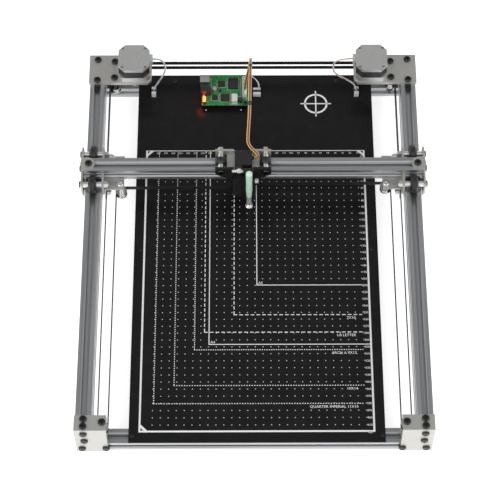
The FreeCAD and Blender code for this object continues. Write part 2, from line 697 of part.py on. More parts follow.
carriage_fasteners = []
for name, (x, z) in zip(("left", "right", "lower"), carriage_axles):
    write("carriage_wheel_" + name,
          wheel(small_wheel_radius, small_wheel_width, V(x, beam_y, z), False))
    if name == "lower":
        carriage_fasteners.append(bolt(x, back_y1, z, (0, -1, 0), back_y1 - front_y0))
    else:
        carriage_fasteners.append(bolt(x, front_y0, z, (0, 1, 0), back_y1 - front_y0 + nut_height + 1))
        carriage_fasteners.append(nut(V(x, back_y1, z), (0, 1, 0)))
    half = small_wheel_width / 2 + 0.1
    carriage_fasteners.append(spacer(V(x, front_y1, z), V(x, beam_y - half, z)))
    carriage_fasteners.append(spacer(V(x, beam_y + half, z), V(x, back_y0, z)))
write("carriage_fasteners", *carriage_fasteners)

# ---- pen lift servo ----
servo_case = box(servo_x - servo_length / 2, servo_x + servo_length / 2, servo_front_y,
                 servo_front_y + servo_depth, bridge_z1, bridge_z1 + servo_width)
turret = rod(servo_width / 2 - 0.2, V(servo_shaft_x, servo_front_y - 4, servo_z),
             V(servo_shaft_x, servo_front_y, servo_z))
spline = rod(2.3, V(servo_shaft_x, servo_front_y - 6.0, servo_z),
             V(servo_shaft_x, servo_front_y - 4, servo_z))
stub_y = servo_front_y + servo_stub_depth
stub_x = servo_x + servo_length / 2 + 2.5
lead_stub = box(servo_x + servo_length / 2, stub_x,
                stub_y - 2, stub_y + 2, servo_z - 2, servo_z + 2)
write("servo", fuse([servo_case, turret, spline, lead_stub]))

horn_y1 = servo_front_y - 4.2
horn_y0 = horn_y1 - horn_thickness - 1.0
horn_hub = rod(3.6, V(servo_shaft_x, horn_y0, servo_z), V(servo_shaft_x, horn_y1, servo_z))
horn_arm = box(servo_shaft_x - horn_half_length + 1.5, servo_shaft_x + horn_half_length - 1.5,
               horn_y0, horn_y0 + horn_thickness, servo_z - horn_height / 2, servo_z + horn_height / 2)
horn_ends = [rod(horn_height / 2, V(servo_shaft_x + s * (horn_half_length - horn_height / 2), horn_y0,
                                    servo_z),
                 V(servo_shaft_x + s * (horn_half_length - horn_height / 2), horn_y0 + horn_thickness,
                   servo_z)) for s in (-1, 1)]
socket = rod(2.3 + running_clearance, V(servo_shaft_x, horn_y0 + 0.7, servo_z),
             V(servo_shaft_x, horn_y1 + 0.1, servo_z))
write("servo_horn", fuse([horn_hub, horn_arm] + horn_ends).cut(socket))

# ---- slide rail and pen carrier ----
slide_half = 4.5
slide_x = carriage_x - 5.5
slide_z0 = plate_base
slide_z1 = bridge_z1 - 3
slide_y0 = front_y0 - 4.0
slide = box(slide_x - slide_half, slide_x + slide_half, slide_y0, front_y0, slide_z0, slide_z1)
groove_z = (slide_z0 - 1, slide_z1 + 1)
grooves = [rod(1.0, V(slide_x + s * slide_half, slide_y0 + 2, groove_z[0]),
               V(slide_x + s * slide_half, slide_y0 + 2, groove_z[1])) for s in (-1, 1)]
write("slide_rail", cut(slide, grooves))

slide_clear = 0.15
pen_x = carriage_x + pen_x_from_carriage
pen_y = beam_y - pen_forward
carrier_y1 = slide_y0 - slide_clear
carrier_y0 = carrier_y1 - 2.4
carrier_z0 = plate_base + 8
carrier_z1 = bridge_z1 - 4
carrier_x0 = slide_x - slide_half - 3.5
carrier_x1 = pen_x + 6.5
face = box(carrier_x0, carrier_x1, carrier_y0, carrier_y1, carrier_z0, carrier_z1)
cheeks = [box(slide_x + s * (slide_half + slide_clear), slide_x + s * (slide_half + 3.2),
              carrier_y1 - 1, front_y0 - 0.6, carrier_z0, carrier_z1) for s in (-1, 1)]
post_x0 = servo_shaft_x + horn_half_length + 0.6
tab_x0 = servo_shaft_x + 5.0
tab_z0 = servo_z + horn_height / 2 + 0.3
post = box(post_x0, carrier_x1, carrier_y0, horn_y0 + horn_thickness + 0.8, carrier_z1 - 3, tab_z0 + 3)
tab = box(tab_x0, post_x0 + 1, carrier_y0, horn_y0 + horn_thickness + 0.8, tab_z0, tab_z0 + 3)
clip_bore = pen_radius + 0.12
clip_z = [(carrier_z0, carrier_z0 + 7), (carrier_z1 - 9, carrier_z1 + 3)]
clips = [rod(clip_bore + 2, V(pen_x, pen_y, a), V(pen_x, pen_y, b)) for a, b in clip_z]
webs = [box(pen_x - 5.5, pen_x + 5.5, pen_y, carrier_y1, a, b) for a, b in clip_z]
open_front = box(pen_x - 20, pen_x + 20, pen_y - 20, pen_y - 1.6, carrier_z0 - 1, carrier_z1 + 4)
pen_bore = rod(clip_bore, V(pen_x, pen_y, carrier_z0 + 8), V(pen_x, pen_y, tab_z0 + 4))
grip_bore = rod(pen_grip_radius + 0.12, V(pen_x, pen_y, carrier_z0 - 1), V(pen_x, pen_y, carrier_z0 + 8))
screw_z = carrier_z1
screw_boss = rod(3.2, V(pen_x + 4, pen_y + 1.0, screw_z), V(pen_x + 7.5, pen_y + 1.0, screw_z))
screw_hole = rod(small_screw_radius + running_clearance, V(pen_x, pen_y + 1.0, screw_z),
                 V(pen_x + 12, pen_y + 1.0, screw_z))
carrier = fuse([face, post, tab] + cheeks + clips + webs + [screw_boss])
horn_room = box(carrier_x0 - 1, slide_x, carrier_y0 - 1, front_y0, carrier_z1 - 3, carrier_z1 + 1)
write("pen_carrier", cut(carrier, [open_front, pen_bore, grip_bore, screw_hole, horn_room]))

knob_x = pen_x + 7.8
screw_start = pen_x + clip_bore - 0.1
knob_radius = 3.2
knob_length = 4.5
knob = fuse([rod(knob_radius, V(knob_x, pen_y + 1.0, screw_z), V(knob_x + knob_length, pen_y + 1.0, screw_z)),
             rod(small_screw_radius, V(screw_start, pen_y + 1.0, screw_z),
                 V(knob_x, pen_y + 1.0, screw_z))])
knurl_count = 18
knurl = []
for i in range(knurl_count):
    a = i * 2 * math.pi / knurl_count
    groove_y = pen_y + 1.0 + knob_radius * math.cos(a)
    groove_z = screw_z + knob_radius * math.sin(a)
    knurl.append(rod(0.3, V(knob_x - 1, groove_y, groove_z), V(knob_x + knob_length + 1, groove_y, groove_z)))
write("pen_clamp_screw", cut(knob, knurl))

tip_z = bed_top + pen_lift_gap
grip_z0 = tip_z + 8
grip_z1 = tip_z + 27
barrel_z1 = tip_z + pen_length


def turned_part(outline):
    """Solid of revolution about the pen's axis, from (radius, z) points."""
    points = [V(pen_x + r, pen_y, z) for r, z in outline]
    face_of = Part.Face(Part.makePolygon(points + [points[0]]))
    return face_of.revolve(V(pen_x, pen_y, 0), V(0, 0, 1), 360)


tip = turned_part([(0, tip_z), (0.5, tip_z + 0.3), (0.9, tip_z + 1.4), (pen_foot_radius, tip_z + 1.6),
                   (pen_foot_radius, tip_z + 2.6), (2.2, tip_z + 5.5), (2.0, grip_z0), (0, grip_z0)])
grip = turned_part([(0, grip_z0), (3.0, grip_z0), (pen_grip_radius, grip_z0 + 2),
                    (pen_grip_radius, grip_z1), (0, grip_z1)])
barrel = turned_part([(0, grip_z1), (pen_grip_radius + 0.2, grip_z1), (pen_radius, grip_z1 + 14),
                      (pen_radius, barrel_z1 - 3), (pen_radius - 2, barrel_z1), (0, barrel_z1)])
write("pen", barrel, grip, tip)

# ---- control board ----
board_z0 = bed_top + board_standoff
board_z1 = board_z0 + board_thickness
board_x0 = board_x - board_length / 2
board_y0 = board_y - board_width / 2
board = box(board_x0, board_x0 + board_length, board_y0, board_y0 + board_width, board_z0, board_z1)
write("control_board", cut(board, [rod(small_screw_radius, V(x, y, board_z0 - 1), V(x, y, board_z1 + 1))
                                   for x, y in board_holes]))


def on_board(x, y, length, width, height):
    """Part standing on the board, x and y from its front left corner."""
    return box(board_x0 + x, board_x0 + x + length, board_y0 + y, board_y0 + y + width,
               board_z1, board_z1 + height)


header_height = 8.0
usb_size = 12.0
usb_hole = 8.6
usb_at = board_y0 + 31 + usb_size / 2
usb = on_board(-2.5, 31, 13, usb_size, usb_size - 1)
usb_mouth = box(board_x0 - 3, board_x0 + 7, usb_at - usb_hole / 2, usb_at + usb_hole / 2,
                board_z1 + 1.4, board_z1 + 1.4 + usb_hole)
usb = usb.cut(usb_mouth)
jack = on_board(-1.5, 15.5, 14, 9, 11)
jack = jack.cut(rod(3.1, V(board_x0 - 2, board_y0 + 20, board_z1 + 6.5),
                    V(board_x0 + 8, board_y0 + 20, board_z1 + 6.5)))
headers = [on_board(56.0, 12.5 + 10.3 * i, 6.0, 9.6, header_height) for i in range(3)]
headers.append(on_board(41.0, 1.5, 8.0, 12.0, header_height))
chips = [on_board(22, 30, 10, 10, 1.6), on_board(36, 26, 14, 18, 2.2), on_board(14, 8, 8, 8, 1.4),
         on_board(26, 6, 12, 12, 1.6)]
caps = [rod(3.0, V(board_x0 + x, board_y0 + y, board_z1), V(board_x0 + x, board_y0 + y, board_z1 + 6))
        for x, y in ((17.5, 24), (53, 6))]
lamps = [on_board(2, 6.5, 3, 3, 2), on_board(23.5, 22, 3, 3, 2)]
write("board_parts", usb, jack, *headers, *chips, *caps, *lamps)

# ---- leads held by the object: motor plug to bed clip, and their plugs ----
lead_radius = 1.3
loop_radius = 1.0


def rounded_tube(points, radius):
    """Round tube of straight runs and tangent arcs; prints the radii of its arcs."""
    edges = []
    radii = []
    last = points[0]
    for before, here, after in zip(points, points[1:], points[2:]):
        a = here - before
        b = after - here
        turn = a.getAngle(b)
        arc_r = 0.45 * min(a.Length, b.Length) / math.tan(turn / 2)
        back = arc_r * math.tan(turn / 2)
        start = here - a.normalize() * back
        end = here + b.normalize() * back
        middle_way = (start + end) * 0.5 - here
        reach = arc_r / math.cos(turn / 2) - arc_r
        mid = here + middle_way.normalize() * reach
        edges += [Part.LineSegment(last, start).toShape(), Part.Arc(start, mid, end).toShape()]
        radii.append(round(arc_r, 1))
        last = end
    edges.append(Part.LineSegment(last, points[-1]).toShape())
    path = Part.Wire(edges)
    way = points[1] - points[0]
    ring = Part.Wire(Part.makeCircle(radius, points[0], way))
    tube = path.makePipeShell([ring], True, False, 2)
    print("radii", radii, "length", round(path.Length, 1),
          "volume ratio", round(tube.Volume / (math.pi * radius ** 2 * path.Length), 3))
    return tube


plug_x = motor_x - motor_size / 2 + 0.2
plug_z = motor_z + motor_flange_height + motor_stator_height / 2
plug_y = motor_y + 6.0
clip_from_bed_middle = bed_width / 2 - 21.1
clip_y = motor_y - 8.5
clip_top = bed_top + 8.0
plugs = []
leads = []
for s in (-1, 1):
    clip_x = clip_from_bed_middle + s * bed_offset_x
    turn_x = plug_x - 26.35 - s * 4.7
    plugs.append(mirrored(box(plug_x - 4, plug_x, plug_y - 6, plug_y + 6, plug_z - 3, plug_z + 3), s))
    plugs.append(mirrored(box(clip_x - 3, clip_x + 3, clip_y - 6, clip_y + 6, bed_top, clip_top), s))
    route = [(plug_x - 4, plug_y, plug_z), (plug_x - 11, plug_y, plug_z), (turn_x + 4, plug_y - 0.5, plug_z - 4),
             (turn_x, plug_y - 4, plug_z - 14), (turn_x + 3.5, plug_y - 8, plug_z - 25),
             (clip_x - 7, clip_y + 3, clip_top + 15), (clip_x - 1.5, clip_y + 1, clip_top + 7),
             (clip_x, clip_y, clip_top)]
    leads.append(mirrored(rounded_tube([V(*p) for p in route], lead_radius), s))
header_x = board_x0 + 59.0
header_top = board_z1 + header_height
loop_clip = box(0.5, 11.0, clip_y - 5.5, clip_y + 5.5, bed_top, bed_top + 6.0)
plugs.append(loop_clip)
loop_route = [(8.0, clip_y + 1.5, bed_top + 6.0), (9.5, clip_y + 3.5, bed_top + 15),
              (5.0, clip_y + 7.0, bed_top + 23), (-2.0, clip_y + 11.0, bed_top + 26),
              (-8.5, clip_y + 14.0, bed_top + 23), (header_x, clip_y + 15.0, header_top)]
leads.append(rounded_tube([V(*p) for p in loop_route], loop_radius))
write("lead_plugs", *plugs)
write("motor_leads", *leads)

# ---- servo lead: from the board, up in an arch over the beam and down to the servo ----
servo_lead_radius = 1.6
lead_span = 150.8           # from the beam back to the header, for the arch below
lead_reach = (board_y - 4.6 - beam_y) / lead_span
arch = [(header_x, 150.8, header_top), (-10.0, 151.8, 55), (-6.5, 152.3, 77), (-4.0, 149.8, 99),
        (-3.0, 142.3, 122), (-3.0, 130.3, 142.5), (-3.2, 113.3, 159), (-3.6, 92.8, 169),
        (-4.0, 71.3, 169), (-4.4, 52.3, 159.5), (-5.0, 36.3, 143.5), (-6.4, 24.3, 126.0)]
lead_route = [(x, beam_y + y * lead_reach, z) for x, y, z in arch]
lead_route += [(-7.2, beam_y + 15.8, 114.0), (-3.6, beam_y + 11.0, 108.6), (1.6, beam_y + 7.8, 105.4),
               (stub_x + 4.6, stub_y + 2.4, 101.2), (stub_x + 5.8, stub_y + 0.8, 97.6),
               (stub_x + 3.8, stub_y, servo_z), (stub_x, stub_y, servo_z)]
lead_points = [V(*p) for p in lead_route]
write("servo_lead", rounded_tube(lead_points, servo_lead_radius))
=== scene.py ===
import math
import bpy
import numpy as np
from mathutils import Matrix, Vector


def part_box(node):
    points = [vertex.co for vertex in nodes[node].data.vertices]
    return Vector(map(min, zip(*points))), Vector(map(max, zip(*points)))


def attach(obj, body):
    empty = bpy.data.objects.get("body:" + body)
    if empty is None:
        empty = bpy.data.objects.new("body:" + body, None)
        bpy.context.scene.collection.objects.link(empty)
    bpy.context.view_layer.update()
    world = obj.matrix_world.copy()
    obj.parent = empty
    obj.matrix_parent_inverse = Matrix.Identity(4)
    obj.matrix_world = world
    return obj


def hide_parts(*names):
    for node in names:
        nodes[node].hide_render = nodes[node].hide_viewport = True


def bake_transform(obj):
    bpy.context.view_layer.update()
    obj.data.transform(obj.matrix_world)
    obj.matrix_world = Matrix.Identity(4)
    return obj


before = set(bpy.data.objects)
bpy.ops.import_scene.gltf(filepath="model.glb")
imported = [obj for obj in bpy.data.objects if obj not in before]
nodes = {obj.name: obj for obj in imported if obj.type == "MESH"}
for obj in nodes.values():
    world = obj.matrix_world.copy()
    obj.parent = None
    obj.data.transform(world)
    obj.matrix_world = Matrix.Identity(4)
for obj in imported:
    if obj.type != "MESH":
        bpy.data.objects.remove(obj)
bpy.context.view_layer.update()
mm = 0.001
print("frame loaded:", len(nodes), "nodes")

# camera: place in metres, angles in radians, lens and sensor in millimetres
cameraLook = {"place": (-0.01052, -1.28287, 2.24155), "azimuth": -0.0047, "elevation": 1.0474,
              "roll": 0.0016, "lens": 139.71, "sensor": 36.0, "near": 0.05, "far": 50}
# a pale floor, a soft sky that dims towards darkWay, and two large lamps
studio = {"floorColour": (0.95, 0.95, 0.95), "floorGlow": 0.68, "floorRough": 0.9, "floorReach": 6.0,
          "skyLow": 0.9, "skyHigh": 0.4, "darkWay": (0.0, 0.5, 0.866), "dimFrom": 0.45, "dimTo": 0.97,
          "keyEnergy": 20.0, "keyPlace": (-1.7, -1.5, 2.0), "keySize": 1.6,
          "fillEnergy": 15.0, "fillPlace": (1.9, -1.1, 2.2), "fillSize": 1.8}
white = (1, 1, 1, 1)


def makeCamera():
    # back points from the scene to the lens, right is level, up is square to both; then both roll
    look = cameraLook
    a, e, r = look["azimuth"], look["elevation"], look["roll"]
    back = Vector((math.sin(a) * math.cos(e), -math.cos(a) * math.cos(e), math.sin(e)))
    right = Vector((math.cos(a), math.sin(a), 0))
    up = back.cross(right)
    across = right * math.cos(r) + up * math.sin(r)
    upward = up * math.cos(r) - right * math.sin(r)
    turn = Matrix((across, upward, back)).transposed().to_4x4()
    data = bpy.data.cameras.new("studioCamera")
    data.lens, data.sensor_width = look["lens"], look["sensor"]
    data.clip_start, data.clip_end = look["near"], look["far"]
    camera = bpy.data.objects.new("studioCamera", data)
    camera.matrix_world = Matrix.Translation(look["place"]) @ turn
    bpy.context.scene.collection.objects.link(camera)
    bpy.context.scene.camera = camera


def makeSky():
    # brightness falls from skyLow to skyHigh as the dot product with darkWay grows
    s = studio
    world = bpy.data.worlds.new("studioWorld")
    bpy.context.scene.world = world
    world.use_nodes = True
    tree = world.node_tree
    background = tree.nodes["Background"]
    background.inputs["Color"].default_value = white
    direction = tree.nodes.new("ShaderNodeTexCoord")
    facing = tree.nodes.new("ShaderNodeVectorMath")
    facing.operation = "DOT_PRODUCT"
    facing.inputs[1].default_value = s["darkWay"]
    tree.links.new(direction.outputs["Generated"], facing.inputs[0])
    dimming = tree.nodes.new("ShaderNodeMapRange")
    dimming.interpolation_type = "SMOOTHSTEP"
    dimming.inputs["From Min"].default_value = s["dimFrom"]
    dimming.inputs["From Max"].default_value = s["dimTo"]
    dimming.inputs["To Min"].default_value = s["skyLow"]
    dimming.inputs["To Max"].default_value = s["skyHigh"]
    tree.links.new(facing.outputs["Value"], dimming.inputs["Value"])
    tree.links.new(dimming.outputs["Result"], background.inputs["Strength"])


def makeLamps():
    # each area lamp points from its place at the origin
    for name in ("key", "fill"):
        place = studio[name + "Place"]
        lamp = bpy.data.lights.new(name + "Light", "AREA")
        lamp.energy, lamp.size = studio[name + "Energy"], studio[name + "Size"]
        light = bpy.data.objects.new(name + "Light", lamp)
        light.location = place
        light.rotation_mode = "QUATERNION"
        light.rotation_quaternion = (-Vector(place)).to_track_quat("-Z", "Y")
        bpy.context.scene.collection.objects.link(light)


def makeFloor():
    # one square that reaches floorReach each way
    s, reach = studio, studio["floorReach"]
    floorMesh = bpy.data.meshes.new("floor")
    corners = [(-reach, -reach, 0), (reach, -reach, 0), (reach, reach, 0), (-reach, reach, 0)]
    floorMesh.from_pydata(corners, [], [(0, 1, 2, 3)])
    floor = bpy.data.objects.new("floor", floorMesh)
    bpy.context.scene.collection.objects.link(floor)
    paint = bpy.data.materials.new("floorPaint")
    paint.use_nodes = True
    shader = paint.node_tree.nodes["Principled BSDF"]
    shader.inputs["Base Color"].default_value = (*s["floorColour"], 1)
    shader.inputs["Roughness"].default_value = s["floorRough"]
    shader.inputs["Emission Color"].default_value = white
    shader.inputs["Emission Strength"].default_value = s["floorGlow"]
    floorMesh.materials.append(paint)


makeCamera()
makeSky()
makeLamps()
makeFloor()
bpy.context.scene.view_settings.view_transform = "Standard"
print("camera and studio ready")

# finishes: grain is the noise scale on each axis, vary how far it shades the colour
finishes = {
    "anodisedAlongY": {"colour": (0.42, 0.43, 0.44), "vary": 0.2, "metal": 0.85, "rough": 0.3,
                       "grain": (900, 6, 900), "bump": 0.06, "roughVary": 0.14},
    "anodisedAlongX": {"colour": (0.42, 0.43, 0.44), "vary": 0.2, "metal": 0.85, "rough": 0.3,
                       "grain": (6, 900, 900), "bump": 0.06, "roughVary": 0.14},
    "blastedBracket": {"colour": (0.52, 0.515, 0.485), "vary": 0.1, "metal": 0.8, "rough": 0.46,
                       "grain": (1500, 1500, 1500), "bump": 0.1, "roughVary": 0.12},
    "blackAnodised": {"colour": (0.018, 0.018, 0.019), "vary": 0.3, "metal": 0.4, "rough": 0.42,
                      "grain": (1200, 1200, 1200), "bump": 0.06, "roughVary": 0.15},
    "bedLacquer": {"colour": (0.0095, 0.0088, 0.0091), "vary": 0.18, "metal": 0.0, "rough": 0.26,
                   "grain": (60, 60, 60), "bump": 0.012, "roughVary": 0.08, "spec": 0.22},
    "turnedMetal": {"colour": (0.66, 0.66, 0.64), "vary": 0.12, "metal": 1.0, "rough": 0.2,
                    "grain": (300, 300, 3000), "bump": 0.05, "roughVary": 0.12},
    "acetal": {"colour": (0.016, 0.016, 0.017), "vary": 0.25, "metal": 0.0, "rough": 0.34,
               "grain": (700, 700, 700), "bump": 0.05, "roughVary": 0.15},
    "blackMoulded": {"colour": (0.014, 0.014, 0.015), "vary": 0.25, "metal": 0.0, "rough": 0.3,
                     "grain": (1400, 1400, 1400), "bump": 0.08, "roughVary": 0.12},
    "beltRubber": {"colour": (0.012, 0.012, 0.013), "vary": 0.3, "metal": 0.0, "rough": 0.55,
                   "grain": (2500, 2500, 2500), "bump": 0.1, "roughVary": 0.15},
    "whitePrint": {"colour": (0.86, 0.86, 0.85), "vary": 0.05, "metal": 0.0, "rough": 0.45,
                   "grain": (900, 900, 900), "bump": 0.02, "roughVary": 0.08},
    "greyPrint": {"colour": (0.6, 0.6, 0.6), "vary": 0.06, "metal": 0.0, "rough": 0.45,
                  "grain": (900, 900, 900), "bump": 0.02, "roughVary": 0.08},
    "clipPlastic": {"colour": (0.62, 0.66, 0.66), "vary": 0.08, "metal": 0.0, "rough": 0.35,
                    "grain": (1200, 1200, 1200), "bump": 0.04, "roughVary": 0.1},
    "hornPlastic": {"colour": (0.8, 0.79, 0.74), "vary": 0.06, "metal": 0.0, "rough": 0.38,
                    "grain": (1500, 1500, 1500), "bump": 0.04, "roughVary": 0.1},
    "knurledSteel": {"colour": (0.62, 0.62, 0.6), "vary": 0.1, "metal": 1.0, "rough": 0.24,
                     "grain": (2200, 2200, 2200), "bump": 0.05, "roughVary": 0.1},
    "socketMetal": {"colour": (0.62, 0.62, 0.6), "vary": 0.12, "metal": 0.9, "rough": 0.28,
                    "grain": (900, 900, 900), "bump": 0.03, "roughVary": 0.12},
    "chipPlastic": {"colour": (0.02, 0.02, 0.022), "vary": 0.25, "metal": 0.0, "rough": 0.5,
                    "grain": (2000, 2000, 2000), "bump": 0.08, "roughVary": 0.1},
}


grainLook = {"detail": 3.0, "noiseLow": 0.3, "noiseHigh": 0.7, "bumpDepth": 0.4 * mm}


def newMaterial(name):
    material = bpy.data.materials.new(name)
    material.use_nodes = True
    tree = material.node_tree
    return material, tree, tree.nodes["Principled BSDF"]


def feed(tree, socket, value):
    # an output is linked to the socket, a number or colour is set on it
    if isinstance(value, bpy.types.NodeSocket):
        tree.links.new(value, socket)
    else:
        socket.default_value = value


def addGrain(tree, shader, spec, colour=None):
    # noise stretched by the grain vector drives roughness and bump, and shades the colour
    coordinate = tree.nodes.new("ShaderNodeTexCoord")
    mapping = tree.nodes.new("ShaderNodeMapping")
    mapping.inputs["Scale"].default_value = spec["grain"]
    noise = tree.nodes.new("ShaderNodeTexNoise")
    noise.inputs["Scale"].default_value = 1.0
    noise.inputs["Detail"].default_value = grainLook["detail"]
    tree.links.new(coordinate.outputs["Object"], mapping.inputs["Vector"])
    tree.links.new(mapping.outputs["Vector"], noise.inputs["Vector"])
    mix = tree.nodes.new("ShaderNodeMix")
    mix.data_type = "RGBA"
    mix.blend_type = "MULTIPLY"
    mix.inputs[0].default_value = 1.0
    shade = tree.nodes.new("ShaderNodeMapRange")
    shade.inputs["From Min"].default_value = grainLook["noiseLow"]
    shade.inputs["From Max"].default_value = grainLook["noiseHigh"]
    shade.inputs["To Min"].default_value = 1 - spec["vary"]
    shade.inputs["To Max"].default_value = 1 + spec["vary"]
    tree.links.new(noise.outputs["Fac"], shade.inputs["Value"])
    feed(tree, mix.inputs[6], (*spec["colour"], 1) if colour is None else colour)
    tree.links.new(shade.outputs["Result"], mix.inputs[7])
    tree.links.new(mix.outputs[2], shader.inputs["Base Color"])
    rough = tree.nodes.new("ShaderNodeMapRange")
    rough.inputs["To Min"].default_value = spec["rough"] - spec["roughVary"] / 2
    rough.inputs["To Max"].default_value = spec["rough"] + spec["roughVary"] / 2
    tree.links.new(noise.outputs["Fac"], rough.inputs["Value"])
    tree.links.new(rough.outputs["Result"], shader.inputs["Roughness"])
    bump = tree.nodes.new("ShaderNodeBump")
    bump.inputs["Strength"].default_value = spec["bump"]
    bump.inputs["Distance"].default_value = grainLook["bumpDepth"]
    tree.links.new(noise.outputs["Fac"], bump.inputs["Height"])
    tree.links.new(bump.outputs["Normal"], shader.inputs["Normal"])
    shader.inputs["Metallic"].default_value = spec["metal"]
    shader.inputs["Coat Weight"].default_value = spec.get("coat", 0.0)
    shader.inputs["Specular IOR Level"].default_value = spec.get("spec", 0.5)


def plainFinish(name):
    material, tree, shader = newMaterial(name)
    addGrain(tree, shader, finishes[name])
    return material


def mathNode(tree, operation, first, second):
    node = tree.nodes.new("ShaderNodeMath")
    node.operation = operation
    feed(tree, node.inputs[0], first)
    feed(tree, node.inputs[1], second)
    return node.outputs[0]


def between(tree, value, low, high):
    # 1 where low < value < high, otherwise 0
    return mathNode(tree, "MULTIPLY", mathNode(tree, "GREATER_THAN", value, low),
                    mathNode(tree, "LESS_THAN", value, high))


def stepNode(tree, inside, before, after):
    # before where inside is 0 and after where it is 1, for colours (three numbers) or for values
    node = tree.nodes.new("ShaderNodeMix")
    isColour = isinstance(after, tuple)
    node.data_type = "RGBA" if isColour else "FLOAT"
    first, out = (6, 2) if isColour else (2, 0)
    for socket, value in ((0, inside), (first, before), (first + 1, after)):
        feed(tree, node.inputs[socket], (*value, 1) if isinstance(value, tuple) else value)
    return node.outputs[out]


def objectPlace(tree):
    # the piece's own x, y and z as three outputs
    coordinate = tree.nodes.new("ShaderNodeTexCoord")
    split = tree.nodes.new("ShaderNodeSeparateXYZ")
    tree.links.new(coordinate.outputs["Object"], split.inputs["Vector"])
    return split.outputs


def bandedFinish(name, spec, bands, axis="Z"):
    # colour and metal change to a band's own where the axis passes its start, in metres
    material, tree, shader = newMaterial(name)
    along = objectPlace(tree)[axis]
    start, colour, metal = bands[0]
    for start, tint, shine in bands[1:]:
        above = mathNode(tree, "GREATER_THAN", along, start)
        colour = stepNode(tree, above, colour, tint)
        if shine != metal:
            metal = stepNode(tree, above, metal, shine)
    addGrain(tree, shader, spec, colour)
    feed(tree, shader.inputs["Metallic"], metal)
    return material


fastenerLook = {"bright": (0.78, 0.78, 0.76), "dark": (0.06, 0.06, 0.062), "vary": 0.15, "metal": 1.0,
                "rough": 0.2, "grain": (1500, 1500, 1500), "bump": 0.04, "roughVary": 0.12}


def fastenerFinish(name, limits):
    # dark where |x|, y or z lies between one of the pairs of limits, bright everywhere else
    material, tree, shader = newMaterial(name)
    place = objectPlace(tree)
    ways = {"x": mathNode(tree, "ABSOLUTE", place["X"], 0.0), "y": place["Y"], "z": place["Z"]}
    dark = 0.0
    for way, low, high in limits:
        dark = mathNode(tree, "MAXIMUM", dark, between(tree, ways[way], low, high))
    colour = stepNode(tree, dark, fastenerLook["bright"], fastenerLook["dark"])
    addGrain(tree, shader, fastenerLook, colour)
    return material


made = {name: plainFinish(name) for name in finishes}
beamLow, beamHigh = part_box("gantry_beam")
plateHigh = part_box("outer_bracket_right")[1]
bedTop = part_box("bed_plate")[1].z
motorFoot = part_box("motor_right")[0].z
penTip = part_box("pen")[0].z
farAway = 1.0
motorLook = {"steel": (0.66, 0.66, 0.64), "black": (0.016, 0.016, 0.017), "grey": (0.56, 0.56, 0.555),
             "blackFrom": 12 * mm, "greyFrom": 25 * mm, "vary": 0.12, "metal": 0.5, "rough": 0.42,
             "grain": (1100, 1100, 1100), "bump": 0.07, "roughVary": 0.14}
made["motorCasting"] = bandedFinish("motorCasting", motorLook, [
    (0, motorLook["steel"], 0.85), (motorFoot + motorLook["blackFrom"], motorLook["black"], 0.2),
    (motorFoot + motorLook["greyFrom"], motorLook["grey"], 0.75)])
penLook = {"metalTip": (0.6, 0.6, 0.6), "smoke": (0.33, 0.38, 0.35), "mint": (0.6, 0.86, 0.67),
           "smokeFrom": 8 * mm, "mintFrom": 27 * mm, "vary": 0.04, "metal": 0.0, "rough": 0.22,
           "grain": (700, 700, 700), "bump": 0.01, "roughVary": 0.06, "coat": 0.3}
made["penColours"] = bandedFinish("penColours", penLook, [
    (0, penLook["metalTip"], 0.9), (penTip + penLook["smokeFrom"], penLook["smoke"], 0.0),
    (penTip + penLook["mintFrom"], penLook["mint"], 0.0)])
# the clip's pale plastic, with a near-black band across it in y where the motor leads go in: painted shade
# for the gap there
clipLook = dict(finishes["clipPlastic"], gap=(0.02, 0.02, 0.02), shadeFrom=246.6 * mm, shadeTo=250.4 * mm)
made["clipWithShadeBand"] = bandedFinish("clipWithShadeBand", clipLook, [
    (0, clipLook["colour"], 0.0), (clipLook["shadeFrom"], clipLook["gap"], 0.0),
    (clipLook["shadeTo"], clipLook["colour"], 0.0)], "Y")
made["gantryBolts"] = fastenerFinish("gantryBolts", [
    ("x", plateHigh.x - 0.1 * mm, farAway), ("z", beamHigh.z + 2 * mm, farAway)])
made["frameBolts"] = fastenerFinish("frameBolts", [("x", 0.0, farAway)])
made["carriageBolts"] = fastenerFinish("carriageBolts", [("y", -farAway, beamLow.y - 5 * mm)])

maskLook = {"vary": 0.15, "metal": 0.0, "rough": 0.3, "grain": (500, 500, 500), "bump": 0.03,
            "roughVary": 0.1, "coat": 0.3, "cells": 420, "track": (0.12, 0.5, 0.14),
            "field": (0.02, 0.22, 0.045), "fieldFrom": 0.3, "edge": (0.015, 0.15, 0.03), "edgeFrom": 0.85}


def boardFinish():
    # three greens by the distance to the nearest of scattered points: tracks, field and dark edges
    look = maskLook
    material, tree, shader = newMaterial("solderMask")
    coordinate = tree.nodes.new("ShaderNodeTexCoord")
    mapping = tree.nodes.new("ShaderNodeMapping")
    mapping.inputs["Scale"].default_value = (look["cells"],) * 3
    cells = tree.nodes.new("ShaderNodeTexVoronoi")
    cells.distance = "MANHATTAN"
    cells.feature = "F1"
    cells.inputs["Scale"].default_value = 1.0
    tree.links.new(coordinate.outputs["Object"], mapping.inputs["Vector"])
    tree.links.new(mapping.outputs["Vector"], cells.inputs["Vector"])
    ramp = tree.nodes.new("ShaderNodeValToRGB")
    ramp.color_ramp.interpolation = "CONSTANT"
    greens = ramp.color_ramp.elements
    greens[0].color = (*look["track"], 1)
    greens[1].position, greens[1].color = look["fieldFrom"], (*look["field"], 1)
    greens.new(look["edgeFrom"]).color = (*look["edge"], 1)
    tree.links.new(cells.outputs["Distance"], ramp.inputs["Fac"])
    addGrain(tree, shader, look, ramp.outputs["Color"])
    return material


made["solderMask"] = boardFinish()

